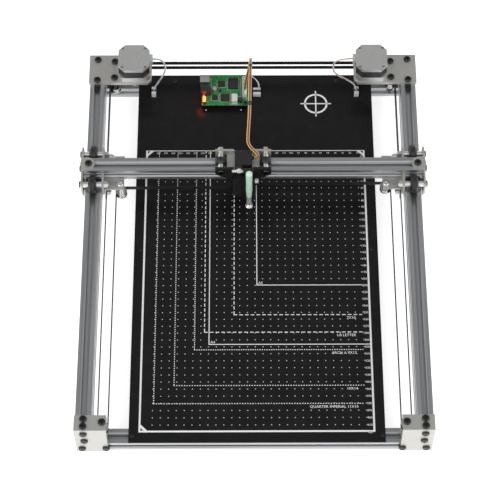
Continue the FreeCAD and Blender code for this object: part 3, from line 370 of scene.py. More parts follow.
# which finish each node takes, by its whole name or by a word in it
nodeFinish = {"front_rail": "anodisedAlongX", "rear_rail": "anodisedAlongX",
              "gantry_beam": "anodisedAlongX", "motor_left": "motorCasting",
              "motor_right": "motorCasting", "bed_plate": "bedLacquer",
              "carriage_front_plate": "blackAnodised", "slide_rail": "blackAnodised",
              "servo_horn": "hornPlastic", "pen": "penColours", "pen_clamp_screw": "knurledSteel",
              "control_board": "solderMask", "lead_plugs": "clipWithShadeBand", "frame_fasteners": "frameBolts",
              "gantry_fasteners": "gantryBolts", "carriage_fasteners": "carriageBolts"}
wordFinish = {"side_rail": "anodisedAlongY", "corner": "blastedBracket", "bracket": "blastedBracket",
              "wheel": "acetal", "idler": "turnedMetal", "pulley": "turnedMetal", "belt": "beltRubber"}


def finishOf(node):
    # a node's own finish, else that of a word in its name, else black plastic
    words = [finish for word, finish in wordFinish.items() if word in node]
    return nodeFinish.get(node, (words + ["blackMoulded"])[0])


for node, piece in nodes.items():
    piece.data.materials.clear()
    piece.data.materials.append(made[finishOf(node)])
print("materials on", len(nodes), "nodes")

# mesh helpers: each gives vertices and faces, and addPiece puts them in


def addPiece(name, vertices, faces, material, body, slot, smooth=False):
    mesh = bpy.data.meshes.new(name)
    mesh.from_pydata(vertices.tolist(), [], faces.tolist() if hasattr(faces, "tolist") else faces)
    mesh.update()
    if smooth:
        mesh.polygons.foreach_set("use_smooth", [True] * len(mesh.polygons))
    mesh.materials.append(material)
    piece = bpy.data.objects.new(name, mesh)
    bpy.context.scene.collection.objects.link(piece)
    if body:
        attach(piece, body)
    return piece


boxFaces = np.array([(0, 3, 2, 1), (4, 5, 6, 7), (0, 1, 5, 4), (1, 2, 6, 5), (2, 3, 7, 6), (3, 0, 4, 7)])


def manyBoxes(lows, highs):
    # corner k of box n is its low corner plus its size times (0 or 1) on each axis
    lows, highs = np.asarray(lows, float), np.asarray(highs, float)
    foot = [(0, 0, 0), (1, 0, 0), (1, 1, 0), (0, 1, 0)]
    pick = np.array(foot + [(x, y, 1) for x, y, z in foot])
    vertices = (lows[:, None] + (highs - lows)[:, None] * pick).reshape(-1, 3)
    faces = (np.arange(len(lows))[:, None, None] * 8 + boxFaces).reshape(-1, 4)
    return vertices, faces


def manyDiscs(centres, radius, height, sides=8):
    # rings of sides points at the base and top of each disc, joined by quads, capped by their rings
    centres = np.asarray(centres, float)
    angle = np.arange(sides) * 2 * np.pi / sides
    ring = np.stack([radius * np.cos(angle), radius * np.sin(angle), 0 * angle], 1)
    low = centres[:, None] + ring
    high = low + (0, 0, height)
    vertices = np.concatenate([low, high], 1).reshape(-1, 3)
    k = np.arange(sides)
    first = np.arange(len(centres))[:, None] * 2 * sides
    walls = first[..., None] + np.stack([k, (k + 1) % sides, (k + 1) % sides + sides, k + sides], 1)
    caps = np.concatenate([first + k[::-1], first + k + sides])
    return vertices, walls.reshape(-1, 4).tolist() + caps.tolist()


def joinMeshes(parts):
    # stacks vertex lists and shifts each face list by the vertices before it
    vertices = np.concatenate([p[0] for p in parts])
    faces = []
    first = 0
    for points, polygons in parts:
        faces += [[i + first for i in f] for f in polygons]
        first += len(points)
    return vertices, faces


def sweep(path, profile, upward=(0, 0, 1), closed=False):
    # point (i, j) = path i + side * u of profile j + lift * v of profile j, with the ends capped
    # upward is one way for the whole path, or a row for each of its points
    path, profile = np.asarray(path, float), np.asarray(profile, float)
    if closed:
        along = np.roll(path, -1, 0) - np.roll(path, 1, 0)
    else:
        along = np.gradient(path, axis=0)
    along /= np.linalg.norm(along, axis=1)[:, None]
    side = np.cross(along, np.asarray(upward, float))
    side /= np.linalg.norm(side, axis=1)[:, None]
    lift = np.cross(side, along)
    u, v = profile[..., 0], profile[..., 1]
    if profile.ndim == 2:
        u, v = np.tile(u, (len(path), 1)), np.tile(v, (len(path), 1))
    vertices = path[:, None] + side[:, None] * u[..., None] + lift[:, None] * v[..., None]
    count, around = len(path), u.shape[1]
    i = np.arange(count if closed else count - 1)[:, None]
    j = np.arange(around)[None]
    after, nextUp = (i + 1) % count, (j + 1) % around
    faces = np.stack([i * around + j, i * around + nextUp, after * around + nextUp,
                      after * around + j], -1).reshape(-1, 4).tolist()
    if not closed:
        faces.append(list(range(around))[::-1])
        faces.append([(count - 1) * around + k for k in range(around)])
    return vertices.reshape(-1, 3), faces


def roundedBox(low, high, radius, steps=4):
    # a sphere of the edge radius, its eight eighths moved out to the corners of the box
    low, high = np.asarray(low, float), np.asarray(high, float)
    centre, half = (low + high) / 2, (high - low) / 2 - radius
    quarter = np.linspace(0, np.pi / 2, steps)
    around = np.concatenate([quarter + k * np.pi / 2 for k in range(4)])
    signX = np.repeat([1, -1, -1, 1], steps)
    signY = np.repeat([1, 1, -1, -1], steps)
    rise = np.concatenate([-quarter[::-1][:-1], [0], [0], quarter[1:]])
    signZ = np.repeat([-1, 1], steps)
    ringX = np.cos(rise)[:, None] * np.cos(around) * radius + signX * half[0]
    ringY = np.cos(rise)[:, None] * np.sin(around) * radius + signY * half[1]
    ringZ = np.sin(rise)[:, None] * radius + (signZ * half[2])[:, None] + 0 * around
    grid = np.stack([ringX, ringY, ringZ], -1) + centre
    rows, columns = grid.shape[:2]
    i, j = np.arange(rows - 1)[:, None], np.arange(columns)[None]
    after = (j + 1) % columns
    faces = np.stack([i * columns + j, i * columns + after, (i + 1) * columns + after,
                      (i + 1) * columns + j], -1).reshape(-1, 4).tolist()
    faces.append(list(range(columns))[::-1])
    faces.append([(rows - 1) * columns + k for k in range(columns)])
    return grid.reshape(-1, 3), faces


# the bed's printed layout: sizes in metres, papers as name, width, length, dash step, dash in mm
bedPrint = {"centreX": 3.3 * mm, "centreY": -55.5 * mm, "width": 297 * mm, "length": 420 * mm,
            "frameLine": 2.4 * mm, "thinLine": 1.1 * mm, "ink": 0.05 * mm, "dot": 0.72 * mm,
            "pitch": 10 * mm, "across": 29, "along": 43, "digit": 4.2 * mm, "sideDigit": 0.85,
            "digitMiddle": 0.4, "digitGap": 0.6 * mm, "digitDrop": 5.5 * mm,
            "label": 5.2 * mm, "labelIn": 20 * mm, "labelDrop": 5.6 * mm,
            "insideGap": (2.4 * mm, 2.0 * mm), "clearOfScale": 9 * mm,
            "corner": 8.5 * mm, "cornerShare": 0.45}
target = {"x": 87 * mm, "y": 231 * mm, "radius": 15 * mm, "band": 2.6 * mm, "arm": 21 * mm, "steps": 48}
screwDots = {"left": (-65.2 * mm, -17.0 * mm), "front": 220 * mm, "size": 1.6 * mm}
paper = [("A5", 148, 210, 0, 0), ("7X10", 177.8, 254, 7.4, 4.6), ("US LETTER", 215.9, 279.4, 7.4, 4.6),
         ("A4", 210, 297, 0, 0), ("ARCH A 9X12", 228.6, 304.8, 3.0, 1.5), ("10X14", 254, 355.6, 3.3, 1.5),
         ("QUARTER IMPERIAL 11X15", 279.4, 381, 3.3, 1.6)]


def dashes(a, b, step, length):
    # each dash starts one step after the last, from a to b, or one whole line where step is 0
    if not step:
        return [(a, b)]
    starts = np.arange(a, b - length / 2, step)
    return [(s, min(s + length, b)) for s in starts]


def printText(words, x, y, size, align, ink):
    # the letters as a mesh, raised by the ink's thickness and moved to (x, y) on the bed
    curve = bpy.data.curves.new("words", "FONT")
    curve.body, curve.size, curve.align_x, curve.extrude = words, size, align, ink / 2
    curve.resolution_u = 2
    holder = bpy.data.objects.new("words", curve)
    bpy.context.scene.collection.objects.link(holder)
    bpy.context.view_layer.update()
    mesh = bpy.data.meshes.new_from_object(holder)
    points = np.empty(len(mesh.vertices) * 3)
    mesh.vertices.foreach_get("co", points)
    points = points.reshape(-1, 3) + (x, y, bedTop + ink / 2)
    faces = [list(p.vertices) for p in mesh.polygons]
    bpy.data.objects.remove(holder)
    bpy.data.curves.remove(curve)
    bpy.data.meshes.remove(mesh)
    return points, faces


def printPiece(name, vertices, faces, ink="whitePrint"):
    addPiece(name, vertices, faces, made[ink], "frame", "printed_bed")


def makeLines(left, right, front, rear):
    # the outer frame, then each paper's far edge and left edge, all thin boxes on the bed
    p = bedPrint
    w, t = p["frameLine"], p["thinLine"]
    lines = [(left, right, front, front + w), (left, right, rear - t, rear),
             (left, left + w, front + w, rear - t), (right - w, right, front + w, rear - t)]
    for name, width, length, step, dash in paper:
        x, y = right - width * mm, rear - length * mm
        stop = right - w - p["clearOfScale"] * bool(step)
        lines += [(a, b, y, y + t) for a, b in dashes(x, stop, step * mm, dash * mm)]
        lines += [(x, x + t, a, b) for a, b in dashes(y + t, rear, step * mm, dash * mm)]
    printPiece("printed_lines", *flatBoxes(lines))


def flatBoxes(lines):
    # each line (x0, x1, y0, y1) as a box from the bed's top to the ink's thickness above it
    x0, x1, y0, y1 = np.array(lines).T
    level = np.full(len(lines), bedTop)
    return manyBoxes(np.stack([x0, y0, level], 1), np.stack([x1, y1, level + bedPrint["ink"]], 1))


def makeNumbers(right, rear):
    # the scales count every pitch from the rear right corner, and each paper has its name
    p = bedPrint
    edge, ink, drop = right - p["frameLine"], p["ink"], p["digitMiddle"] * p["digit"]
    words = [printText(str(j * 10), edge - p["digitGap"], rear - j * p["pitch"] - drop, p["digit"],
                       "RIGHT", ink) for j in range(1, p["along"])]
    words += [printText(str(i * 10), right - i * p["pitch"], rear - p["digitDrop"],
                        p["digit"] * p["sideDigit"], "CENTER", ink) for i in range(1, p["across"])]
    aside, above = p["insideGap"]
    for name, width, length, step, dash in paper:
        y = rear - length * mm
        if step:
            x, y, align = right - p["labelIn"], y - p["labelDrop"], "RIGHT"
        else:
            x, y, align = right - width * mm + aside, y + above, "LEFT"
        words.append(printText(name, x, y, p["label"], align, ink))
    printPiece("printed_numbers", *joinMeshes(words))
    return len(words)


def makeCorners(left, right, front, rear):
    # a slanted bar across three inner corners of the frame, cut off square to its sides
    p = bedPrint
    reach, near = p["corner"], p["corner"] * p["cornerShare"]
    marks = []
    for sx, sy in ((-1, -1), (-1, 1), (1, 1)):
        x = left + p["frameLine"] if sx < 0 else right - p["frameLine"]
        y = front + p["frameLine"] if sy < 0 else rear - p["thinLine"]
        points = np.array([(x - sx * near, y, bedTop), (x - sx * reach, y, bedTop),
                           (x, y - sy * reach, bedTop), (x, y - sy * near, bedTop)])
        if sx * sy < 0:
            points = points[::-1]
        marks.append((np.concatenate([points, points + (0, 0, p["ink"])]), boxFaces.tolist()))
    printPiece("printed_corners", *joinMeshes(marks))


def makeTarget():
    # a ring, x + r cos and y + r sin, with a level cross through it, and two square dots beside it
    x, y, r, arm = target["x"], target["y"], target["radius"], target["arm"]
    half, thin, ink = target["band"] / 2, target["band"] / 3, bedPrint["ink"]
    angle = np.linspace(0, 2 * np.pi, target["steps"], endpoint=False)
    middle = np.stack([x + r * np.cos(angle), y + r * np.sin(angle), 0 * angle + bedTop + ink / 2], 1)
    flat = [(-half, -ink / 2), (half, -ink / 2), (half, ink / 2), (-half, ink / 2)]
    ring = sweep(middle, flat, closed=True)
    bars = [(x - arm, x + arm, y - thin, y + thin), (x - thin, x + thin, y + thin, y + arm),
            (x - thin, x + thin, y - arm, y - thin)]
    front, size = screwDots["front"], screwDots["size"]
    bars += [(side, side + size, front, front + size) for side in screwDots["left"]]
    vertices, faces = flatBoxes(bars)
    printPiece("printed_target", *joinMeshes([ring, (vertices, faces.tolist())]))


def makeBedPrint():
    # dots stand on the crossings of the scales' pitch, counted from the rear right corner
    p = bedPrint
    left, right = p["centreX"] - p["width"] / 2, p["centreX"] + p["width"] / 2
    front, rear = p["centreY"] - p["length"] / 2, p["centreY"] + p["length"] / 2
    makeLines(left, right, front, rear)
    spots = [(right - i * p["pitch"], rear - j * p["pitch"], bedTop)
             for i in range(1, p["across"]) for j in range(2, p["along"] - 1)]
    printPiece("printed_dots", *manyDiscs(spots, p["dot"], p["ink"]), "greyPrint")
    count = makeNumbers(right, rear)
    makeCorners(left, right, front, rear)
    makeTarget()
    print("bed print:", len(spots), "dots,", count, "labels")


makeBedPrint()

# toothed belts: radius of the belt's middle round its wheels, back and tooth measured from it
belt = {"radius": 6.6 * mm, "width": 6.0 * mm, "back": 0.63 * mm, "tooth": 0.7 * mm, "pitch": 2.0 * mm,
        "notch": 0.55 * mm, "arcSteps": 24, "runSteps": 400, "clamp": 16 * mm}


def toothedBelt(path, teethLeft):
    # a rectangle along the path; one edge steps in by a notch for half of every pitch
    path = np.asarray(path, float)
    steps = np.linalg.norm(np.diff(path, axis=0), axis=1)
    length = np.concatenate([[0], np.cumsum(steps)])
    count = max(int(length[-1] / (belt["pitch"] / 4)), 4)
    at = np.linspace(0, length[-1], count)
    fine = np.stack([np.interp(at, length, path[:, k]) for k in range(3)], 1)
    sign = 1 if teethLeft else -1
    notched = sign * (-belt["back"] + np.where((np.arange(count) % 4) < 2, 0, belt["notch"]))
    plain = sign * np.full(count, belt["tooth"])
    u = np.stack([notched, plain, plain, notched] if teethLeft else [plain, notched, notched, plain], 1)
    half = belt["width"] / 2
    v = np.tile([-half, -half, half, half], (count, 1))
    return sweep(fine, np.stack([u, v], -1))


def arcPoints(x, y, z, start, turn):
    # x + radius cos and y + radius sin, from the start angle through the turn, in degrees
    r, angle = belt["radius"], np.radians(np.linspace(start, start + turn, belt["arcSteps"]))
    return np.stack([x + r * np.cos(angle), y + r * np.sin(angle), z + 0 * angle], 1)


def centreOf(node):
    # half way between the low and high corners of the node's box
    low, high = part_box(node)
    return (low + high) / 2


def beltPiece(name, path, teethLeft, body):
    return addPiece(name, *toothedBelt(path, teethLeft), made["beltRubber"], body, "belt_rubber")


def straight(start, end):
    # evenly spaced points from start to end
    return np.linspace(start, end, belt["runSteps"])


def makeBelts():
    # each belt: a loop round the frame, runs along the side rails and runs along the beam
    r = belt["radius"]
    carriageX = centreOf("carriage_front_plate").x
    for name, other, s in (("left", "right", -1), ("right", "left", 1)):
        front, farZ = centreOf("front_idler_" + name), centreOf("front_idler_" + other).z
        feedY = centreOf("rear_idler_feed_" + name).y
        rearY = centreOf("rear_idler_own_" + name).y
        motor = centreOf("motor_pulley_" + name)
        x, z, mirror = abs(front.x), front.z, (s, 1, 1)
        path = np.concatenate([
            arcPoints(x, front.y, z, 180, 180), arcPoints(x, feedY, z, 0, 90),
            arcPoints(abs(motor.x), motor.y, z, 270, -180), arcPoints(x, rearY, z, 270, 180),
            arcPoints(-x, rearY, z, 90, 90)])
        loop = beltPiece("toothed_loop_" + name, path * mirror, s < 0, "frame")
        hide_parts("belt_loop_" + name)
        idlerFront = centreOf("gantry_idler_front_" + name)
        idlerRear = centreOf("gantry_idler_rear_" + name)
        inner = straight((s * (x - r), front.y, z), (s * (x - r), idlerFront.y, z))
        outer = straight((s * (x + r), rearY, farZ), (s * (x + r), idlerRear.y, farZ))
        for label, run in (("inner", inner), ("outer", outer)):
            piece = beltPiece("side_run_" + label + "_" + name, run, s > 0, None)
            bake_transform(piece)
            if label == "inner" and s < 0:
                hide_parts("belt_side_runs")
        clampX = s * carriageX + belt["clamp"]
        for label, idler, level, turn, offset in (("front", idlerFront, z, 90, r),
                                                  ("rear", idlerRear, farZ, -90, -r)):
            teethLeft = (s > 0) == (label == "front")
            corner = arcPoints(abs(idler.x), idler.y, level, 0, turn) * mirror
            beltPiece("beam_turn_" + label + "_" + name, corner, teethLeft, "gantry")
            y = idler.y + offset
            run = straight((abs(idler.x), y, level), (clampX, y, level)) * mirror
            piece = beltPiece("beam_run_" + label + "_" + name, run, teethLeft, None)
            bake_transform(piece)
            if label == "front" and s < 0:
                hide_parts("belt_beam_runs")
    print("belts made")


makeBelts()

# leads: routes are control points in mm
servoLead = {"wire": 0.7 * mm, "spacing": 1.42 * mm, "rollFrom": 0.86, "rollOver": 0.12,
             "rollTo": (0, -0.2, -1.0), "topY": 0.172,
             "tie": 0.5 * mm, "tieY": {"rear": 0.195, "front": 0.141}, "tieAbove": 0.12, "tieSteps": 20,
             "colours": ((0.7, 0.44, 0.07), (0.13, 0.055, 0.02), (0.5, 0.3, 0.26))}
servoRoute = [(-11.05, 243.0, 39.6), (-10.0, 244.0, 55), (-6.5, 244.5, 77), (-4.0, 242.0, 99),
              (-3.0, 234.5, 122), (-3.0, 222.5, 142.5), (-3.2, 205.5, 159), (-3.6, 185.0, 169),
              (-4.0, 163.5, 169), (-4.4, 144.5, 159.5), (-5.0, 128.5, 143.5), (-6.4, 116.5, 126.0),
              (-7.2, 108.0, 114.0), (-3.6, 103.2, 108.6), (1.6, 100.0, 105.4), (5.6, 97.7, 101.2),
              (6.8, 96.1, 97.6), (4.8, 95.3, 95.1), (1.0, 95.3, 95.1)]
motorLead = {"wire": 0.52 * mm, "twist": 0.72 * mm, "turnEvery": 34 * mm, "plug": (136.05, 263, 83.5),
             "clipTop": (139.9, 248.5, 30), "clipShift": 3.4, "turnX": 113.7, "turnShift": 4.7,
             "left": ((0.3, 0.4, 0.46), (0.62, 0.68, 0.7), (0.42, 0.5, 0.54), (0.7, 0.73, 0.73)),
             "right": ((0.74, 0.72, 0.67), (0.55, 0.5, 0.44), (0.78, 0.76, 0.72), (0.4, 0.14, 0.1))}
loopLead = {"wire": 0.54 * mm, "colours": ((0.72, 0.73, 0.72), (0.6, 0.61, 0.6))}
loopRoute = [(8.0, 250.0, 28), (9.5, 252.0, 37), (5.0, 255.5, 45), (-2.0, 259.5, 48), (-8.5, 262.5, 45),
             (-11.05, 263.5, 39.6)]


def routePoints(name, route):
    # the smooth line of a NURBS spline with the route's points as its control points
    curve = bpy.data.curves.new(name, "CURVE")
    curve.dimensions = "3D"
    spline = curve.splines.new("NURBS")
    spline.points.add(len(route) - 1)
    spline.points.foreach_set("co", np.array([(x * mm, y * mm, z * mm, 1) for x, y, z in route]).ravel())
    spline.order_u = 3
    spline.use_endpoint_u = True
    spline.resolution_u = 16
    holder = bpy.data.objects.new(name, curve)
    bpy.context.scene.collection.objects.link(holder)
    bpy.context.view_layer.update()
    mesh = bpy.data.meshes.new_from_object(holder)
    points = np.empty(len(mesh.vertices) * 3)
    mesh.vertices.foreach_get("co", points)
    bpy.data.objects.remove(holder)
    return points.reshape(-1, 3)


def circle(radius, sides=10):
    # radius cos, radius sin
    angle = np.arange(sides) * 2 * np.pi / sides
    return np.stack([radius * np.cos(angle), radius * np.sin(angle)], 1)


def unitAlong(path):
    # the way from each point to the next, one unit long
    along = np.gradient(path, axis=0)
    return along / np.linalg.norm(along, axis=1)[:, None]


def colouredWires(name, colours, rough=0.38):
    # the colour of each wire comes from the u of its UV map, one step for each wire
    spec = {"vary": 0.12, "metal": 0.0, "rough": rough, "grain": (900, 900, 900), "bump": 0.05,
            "roughVary": 0.12}
    material, tree, shader = newMaterial(name)
    uv = tree.nodes.new("ShaderNodeUVMap")
    uv.uv_map = "wires"
    split = tree.nodes.new("ShaderNodeSeparateXYZ")
    ramp = tree.nodes.new("ShaderNodeValToRGB")
    ramp.color_ramp.interpolation = "CONSTANT"
    tree.links.new(uv.outputs["UV"], split.inputs["Vector"])
    tree.links.new(split.outputs["X"], ramp.inputs["Fac"])
    steps = ramp.color_ramp.elements
    steps[0].color = (*colours[0], 1)
    steps[1].position, steps[1].color = 1 / len(colours), (*colours[1], 1)
    for k in range(2, len(colours)):
        steps.new(k / len(colours)).color = (*colours[k], 1)
    addGrain(tree, shader, spec, ramp.outputs["Color"])
    return material


def markWires(piece, facesPerWire, wires):
    # every corner of wire k gets u = (k + 0.5) / wires
    layer = piece.data.uv_layers.new(name="wires")
    wire = np.repeat(np.arange(wires), facesPerWire)
    loops = np.empty(len(piece.data.polygons), int)
    piece.data.polygons.foreach_get("loop_total", loops)
    u = np.repeat((wire + 0.5) / wires, loops)
    layer.data.foreach_set("uv", np.stack([u, 0 * u + 0.5], 1).ravel())


def sidewaysOf(path, reference):
    # the reference way less its part along the path, made one unit long at each point
    along = unitAlong(path)
    side = reference - (reference * along).sum(1)[:, None] * along
    return side / np.linalg.norm(side, axis=1)[:, None]


def makeServoLead():
    # three wires side by side; the ribbon lies level, and rolls upright where it enters the servo
    s = servoLead
    line = routePoints("servoRoute", servoRoute)
    made["servoWires"] = colouredWires("servoWires", s["colours"])
    roll = np.clip((np.linspace(0, 1, len(line)) - s["rollFrom"]) / s["rollOver"], 0, 1)[:, None]
    side = sidewaysOf(line, (1 - roll) * (1.0, 0, 0) + roll * s["rollTo"])
    top = int(np.argmin(np.abs(line[:, 1] - s["topY"])))
    ties = []
    for name, span, bodies in (("rear", slice(0, top + 1), ("frame", "gantry")),
                               ("front", slice(top, None), ("gantry", "carriage"))):
        part, across = line[span], side[span]
        wires = [sweep(part + k * s["spacing"] * across, circle(s["wire"]), upward=across)
                 for k in (-1, 0, 1)]
        piece = addPiece("servo_lead_" + name, *joinMeshes(wires), made["servoWires"], None,
                         "lead_insulation", smooth=True)
        markWires(piece, len(wires[0][1]), 3)
        start, end = (0, part[0][1], 0), (0, part[-1][1], 0)
        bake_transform(piece)
        if name == "rear":
            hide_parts("servo_lead")
        ties.append((name, line, side, bodies, start, end))
    for tie in ties:
        makeTie(*tie)


def makeTie(name, line, side, bodies, start, end):
    # a flat ellipse swept over five points of the ribbon's line
    s = servoLead
    at = int(np.argmin(np.abs(line[:, 1] - s["tieY"][name]) + (line[:, 2] < s["tieAbove"])))
    half, thick = s["spacing"] + s["wire"] + s["tie"], s["wire"] + s["tie"]
    outline = circle(1, s["tieSteps"])[:, ::-1] * (thick, half)
    band = slice(at - 2, at + 3)
    tie = addPiece("lead_tie_" + name, *sweep(line[band], outline, upward=side[band]),
                   made["blackMoulded"], None, "black_plastic", smooth=True)
    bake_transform(tie)


def leadRoute(side):
    # out level from the motor's plug, round a bend and down into the clip on the bed, in mm
    px, py, pz = motorLead["plug"]
    cx, cy, cz = motorLead["clipTop"]
    cx += side * motorLead["clipShift"]
    tx = motorLead["turnX"] - side * motorLead["turnShift"]
    points = [(px, py, pz), (px - 7, py, pz), (tx + 4, py - 0.5, pz - 4), (tx, py - 4, pz - 14),
              (tx + 3.5, py - 8, pz - 25), (cx - 7, cy + 3, cz + 15), (cx - 1.5, cy + 1, cz + 7),
              (cx, cy, cz)]
    return [(side * x, y, z) for x, y, z in points]


def twistedLead(name, route, colours, radius, wire):
    # each wire's centre circles the lead's line once every turnEvery
    line = routePoints(name + "Route", route)
    side = sidewaysOf(line, np.tile((0, 1.0, 0), (len(line), 1)))
    lift = np.cross(unitAlong(line), side)
    steps = np.concatenate([[0], np.cumsum(np.linalg.norm(np.diff(line, axis=0), axis=1))])
    wires = []
    for k in range(len(colours)):
        turn = 2 * np.pi * (steps / motorLead["turnEvery"] + k / len(colours))[:, None]
        centre = line + radius * (np.cos(turn) * side + np.sin(turn) * lift)
        wires.append(sweep(centre, circle(wire, 8), upward=side))
    piece = addPiece(name, *joinMeshes(wires), colouredWires(name + "Wires", colours, rough=0.3),
                     "frame", "lead_insulation", smooth=True)
    markWires(piece, len(wires[0][1]), len(colours))
    return piece


makeServoLead()
leads = [twistedLead("motor_lead_" + name, leadRoute(side), motorLead[name], motorLead["twist"],
                     motorLead["wire"]) for name, side in (("left", -1), ("right", 1))]
twistedLead("loop_lead", loopRoute, loopLead["colours"], loopLead["wire"], loopLead["wire"])
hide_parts("motor_leads")

# control board: places in mm from its left front corner, as x, y, width, length and height
boardLow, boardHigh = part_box("control_board")
boardTop = boardHigh.z
boardChips = [(36, 26, 14, 18, 2.2), (22, 30, 10, 10, 1.6), (26, 6, 12, 12, 1.6), (14, 8, 8, 8, 1.4)]
chipLeg = {"pitch": 1.27, "reach": 0.9, "half": 0.2, "height": 0.5}
boardHeaders = [(56.0, 12.5), (56.0, 22.8), (56.0, 33.1)]
# black boxes on the headers' tops: painted shade for the dark inside their socket holes
headerHoleShade = {"count": 4, "in": 1.0, "pitch": 2.1, "width": 1.3, "length": 1.2, "from": 8.0, "height": 0.15}
# small parts: where they may not stand is given as x and y of two corners
boardFree = {"seed": 11, "tries": 90, "size": (1.7, 0.9, 0.7), "edge": 2.0, "board": (63.7, 50.6),
             "chipGap": (1.6, 1.2), "gap": 0.5, "capShare": 0.3, "capRise": 0.03,
             "headerSpace": (-1, -1, 7, 11),
             "keepOut": [(-3, 30, 12, 45), (-2, 14, 14, 26), (40, 0, 50, 15), (13, 20, 22, 28),
                         (49, 2, 57, 10), (0, 3, 8, 12)]}
boardLegend = {"others": [(55, 11.5, 8, 33, 0), (40, 0.8, 10, 13.6, 0), (10.6, 30, 1, 14, 0)],
               "gap": (1.3, 0.7), "line": 0.25, "ink": 0.04}
boardPaint = {"white": (0.66, 0.67, 0.66), "steel": (0.6, 0.6, 0.58), "rough": 0.34}
# painted regions: limits in x, limits in y, colour, and how metallic each is
boardRegions = [((-4, 12), (30, 45), "steel", 1.0), ((55, 63), (12, 44), "white", 0.0),
                ((40, 50), (0, 14), "white", 0.0), ((14, 20.8), (20, 28), "steel", 0.8)]
lamp = {"lenses": [(1.6, 4.6, 3.8, 8.6, 2.6), (1.6, 14.0, 2.0, 1.4, 1.2)], "edge": 0.6, "lift": 0.1,
        "colour": (1.0, 0.25, 0.06), "shine": (1.0, 0.13, 0.04, 1), "strength": 5.0,
        "glow": (1.0, 0.04, 0.02), "energy": 0.007, "size": 6 * mm, "place": (-1, 4, 4),
        "vary": 0.1, "metal": 0.0, "rough": 0.3, "grain": (900, 900, 900), "bump": 0.02, "roughVary": 0.1}


def onBoard(points):
    # millimetres from the board's corner and top as metres in the scene
    return np.asarray(points, float) * mm + (boardLow.x, boardLow.y, boardTop)


def boardPiece(name, lows, highs, finish):
    addPiece(name, *manyBoxes(onBoard(lows), onBoard(highs)), made[finish], "frame", "board_parts")


def regionFinish(name, spec, regions):
    # the spec's colour everywhere, and each region's own colour between its limits in x and y
    material, tree, shader = newMaterial(name)
    place = objectPlace(tree)
    colour, metal = spec["colour"], 0.0
    for (x0, x1), (y0, y1), tint, shine in regions:
        inside = mathNode(tree, "MULTIPLY",
                          between(tree, place["X"], boardLow.x + x0 * mm, boardLow.x + x1 * mm),
                          between(tree, place["Y"], boardLow.y + y0 * mm, boardLow.y + y1 * mm))
        colour = stepNode(tree, inside, colour, boardPaint[tint])
        metal = mathNode(tree, "MAXIMUM", metal, mathNode(tree, "MULTIPLY", inside, shine))
    addGrain(tree, shader, spec, colour)
    tree.links.new(metal, shader.inputs["Metallic"])
    return material


def makeLegs():
    # rows of flat legs on the two long sides of each chip, centred on its length
    lows, highs = [], []
    reach, half = chipLeg["reach"], chipLeg["half"]
    for x, y, width, length, height in boardChips:
        count = int(min(width, length) / chipLeg["pitch"])
        at = y + np.arange(count) * chipLeg["pitch"] + (length - (count - 1) * chipLeg["pitch"]) / 2
        for edge in (x - reach, x + width):
            lows += [(edge, a - half, 0) for a in at]
            highs += [(edge + reach, a + half, chipLeg["height"]) for a in at]
    boardPiece("chip_legs", lows, highs, "socketMetal")


def makeHeaderHoleShade():
    # a thin black box on top of the header for each socket hole, painted shade for the dark inside it
    h = headerHoleShade
    lows = np.array([(x + h["in"], y + h["in"] + h["pitch"] * k, h["from"])
                     for x, y in boardHeaders for k in range(h["count"])])
    boardPiece("header_hole_shade", lows, lows + (h["width"], h["length"], h["height"]), "chipPlastic")


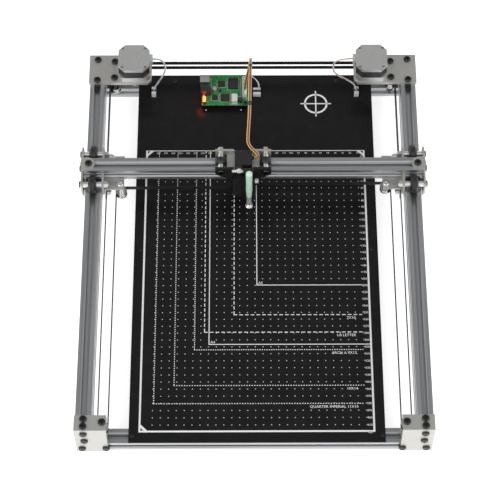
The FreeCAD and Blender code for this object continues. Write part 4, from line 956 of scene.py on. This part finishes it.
def makeSmallParts():
    # tries random places, and keeps each one that is clear of everything kept before it
    f = boardFree
    draw = np.random.default_rng(f["seed"])
    wide, deep = f["board"]
    edge, (gapX, gapY) = f["edge"], f["chipGap"]
    spots = draw.uniform((edge, edge), (wide - edge - 1, deep - edge - 1), (f["tries"], 2))
    turned = draw.integers(0, 2, f["tries"])
    taken = [(x - gapX, y - gapY, x + w + gapX, y + long + gapY) for x, y, w, long, h in boardChips]
    a, b, c, d = f["headerSpace"]
    taken += [(x + a, y + b, x + c, y + d) for x, y in boardHeaders]
    taken += f["keepOut"]
    longSide, shortSide, height = f["size"]
    gap, share = f["gap"], f["capShare"]
    lows, sizes, caps, shifts = [], [], [], []
    for (x, y), turn in zip(spots, turned):
        w, d = (longSide, shortSide) if turn else (shortSide, longSide)
        if any(x + w > x0 and x < x1 and y + d > y0 and y < y1 for x0, y0, x1, y1 in taken):
            continue
        taken.append((x - gap, y - gap, x + w + gap, y + d + gap))
        lows.append((x, y, 0))
        sizes.append((w, d, height))
        caps.append((share * w if turn else w, d if turn else share * d, height + f["capRise"]))
        shifts.append(((1 - share) * w * turn, (1 - share) * d * (1 - turn), 0))
    lows, sizes, caps, shifts = (np.array(rows) for rows in (lows, sizes, caps, shifts))
    boardPiece("small_parts", lows, lows + sizes, "chipPlastic")
    ends = np.stack([lows, lows + shifts], 1)
    boardPiece("small_part_ends", ends.reshape(-1, 3), (ends + caps[:, None]).reshape(-1, 3), "socketMetal")
    return len(lows)


def makeLegend():
    # four thin lines round each chip and socket
    lows, highs = [], []
    (gapX, gapY), t = boardLegend["gap"], boardLegend["line"]
    for x, y, width, length, height in boardChips + boardLegend["others"]:
        x0, y0, x1, y1 = x - gapX, y - gapY, x + width + gapX, y + length + gapY
        for a, b, c, d in ((x0, y0, x1, y0 + t), (x0, y1 - t, x1, y1),
                           (x0, y0 + t, x0 + t, y1 - t), (x1 - t, y0 + t, x1, y1 - t)):
            lows.append((a, b, 0))
            highs.append((c, d, boardLegend["ink"]))
    boardPiece("board_legend", lows, highs, "whitePrint")


def makeLamp():
    # two glowing lenses and a weak red light in front of them
    material, tree, shader = newMaterial("lampLens")
    addGrain(tree, shader, lamp)
    shader.inputs["Emission Color"].default_value = lamp["shine"]
    shader.inputs["Emission Strength"].default_value = lamp["strength"]
    lens = [roundedBox(onBoard((x, y, lamp["lift"])), onBoard((x + w, y + d, h)), lamp["edge"] * mm)
            for x, y, w, d, h in lamp["lenses"]]
    addPiece("lamp_lenses", *joinMeshes(lens), material, "frame", "board_parts", smooth=True)
    glow = bpy.data.lights.new("lampGlow", "POINT")
    glow.energy, glow.color, glow.shadow_soft_size = lamp["energy"], lamp["glow"], lamp["size"]
    source = bpy.data.objects.new("lampGlow", glow)
    source.location = onBoard(lamp["place"])
    bpy.context.scene.collection.objects.link(source)


def makeBoardDetails():
    spec = dict(finishes["chipPlastic"], rough=boardPaint["rough"])
    made["boardParts"] = regionFinish("boardParts", spec, boardRegions)
    nodes["board_parts"].data.materials.clear()
    nodes["board_parts"].data.materials.append(made["boardParts"])
    makeLegs()
    makeHeaderHoleShade()
    count = makeSmallParts()
    makeLegend()
    makeLamp()
    print("board details:", count, "small parts")


makeBoardDetails()
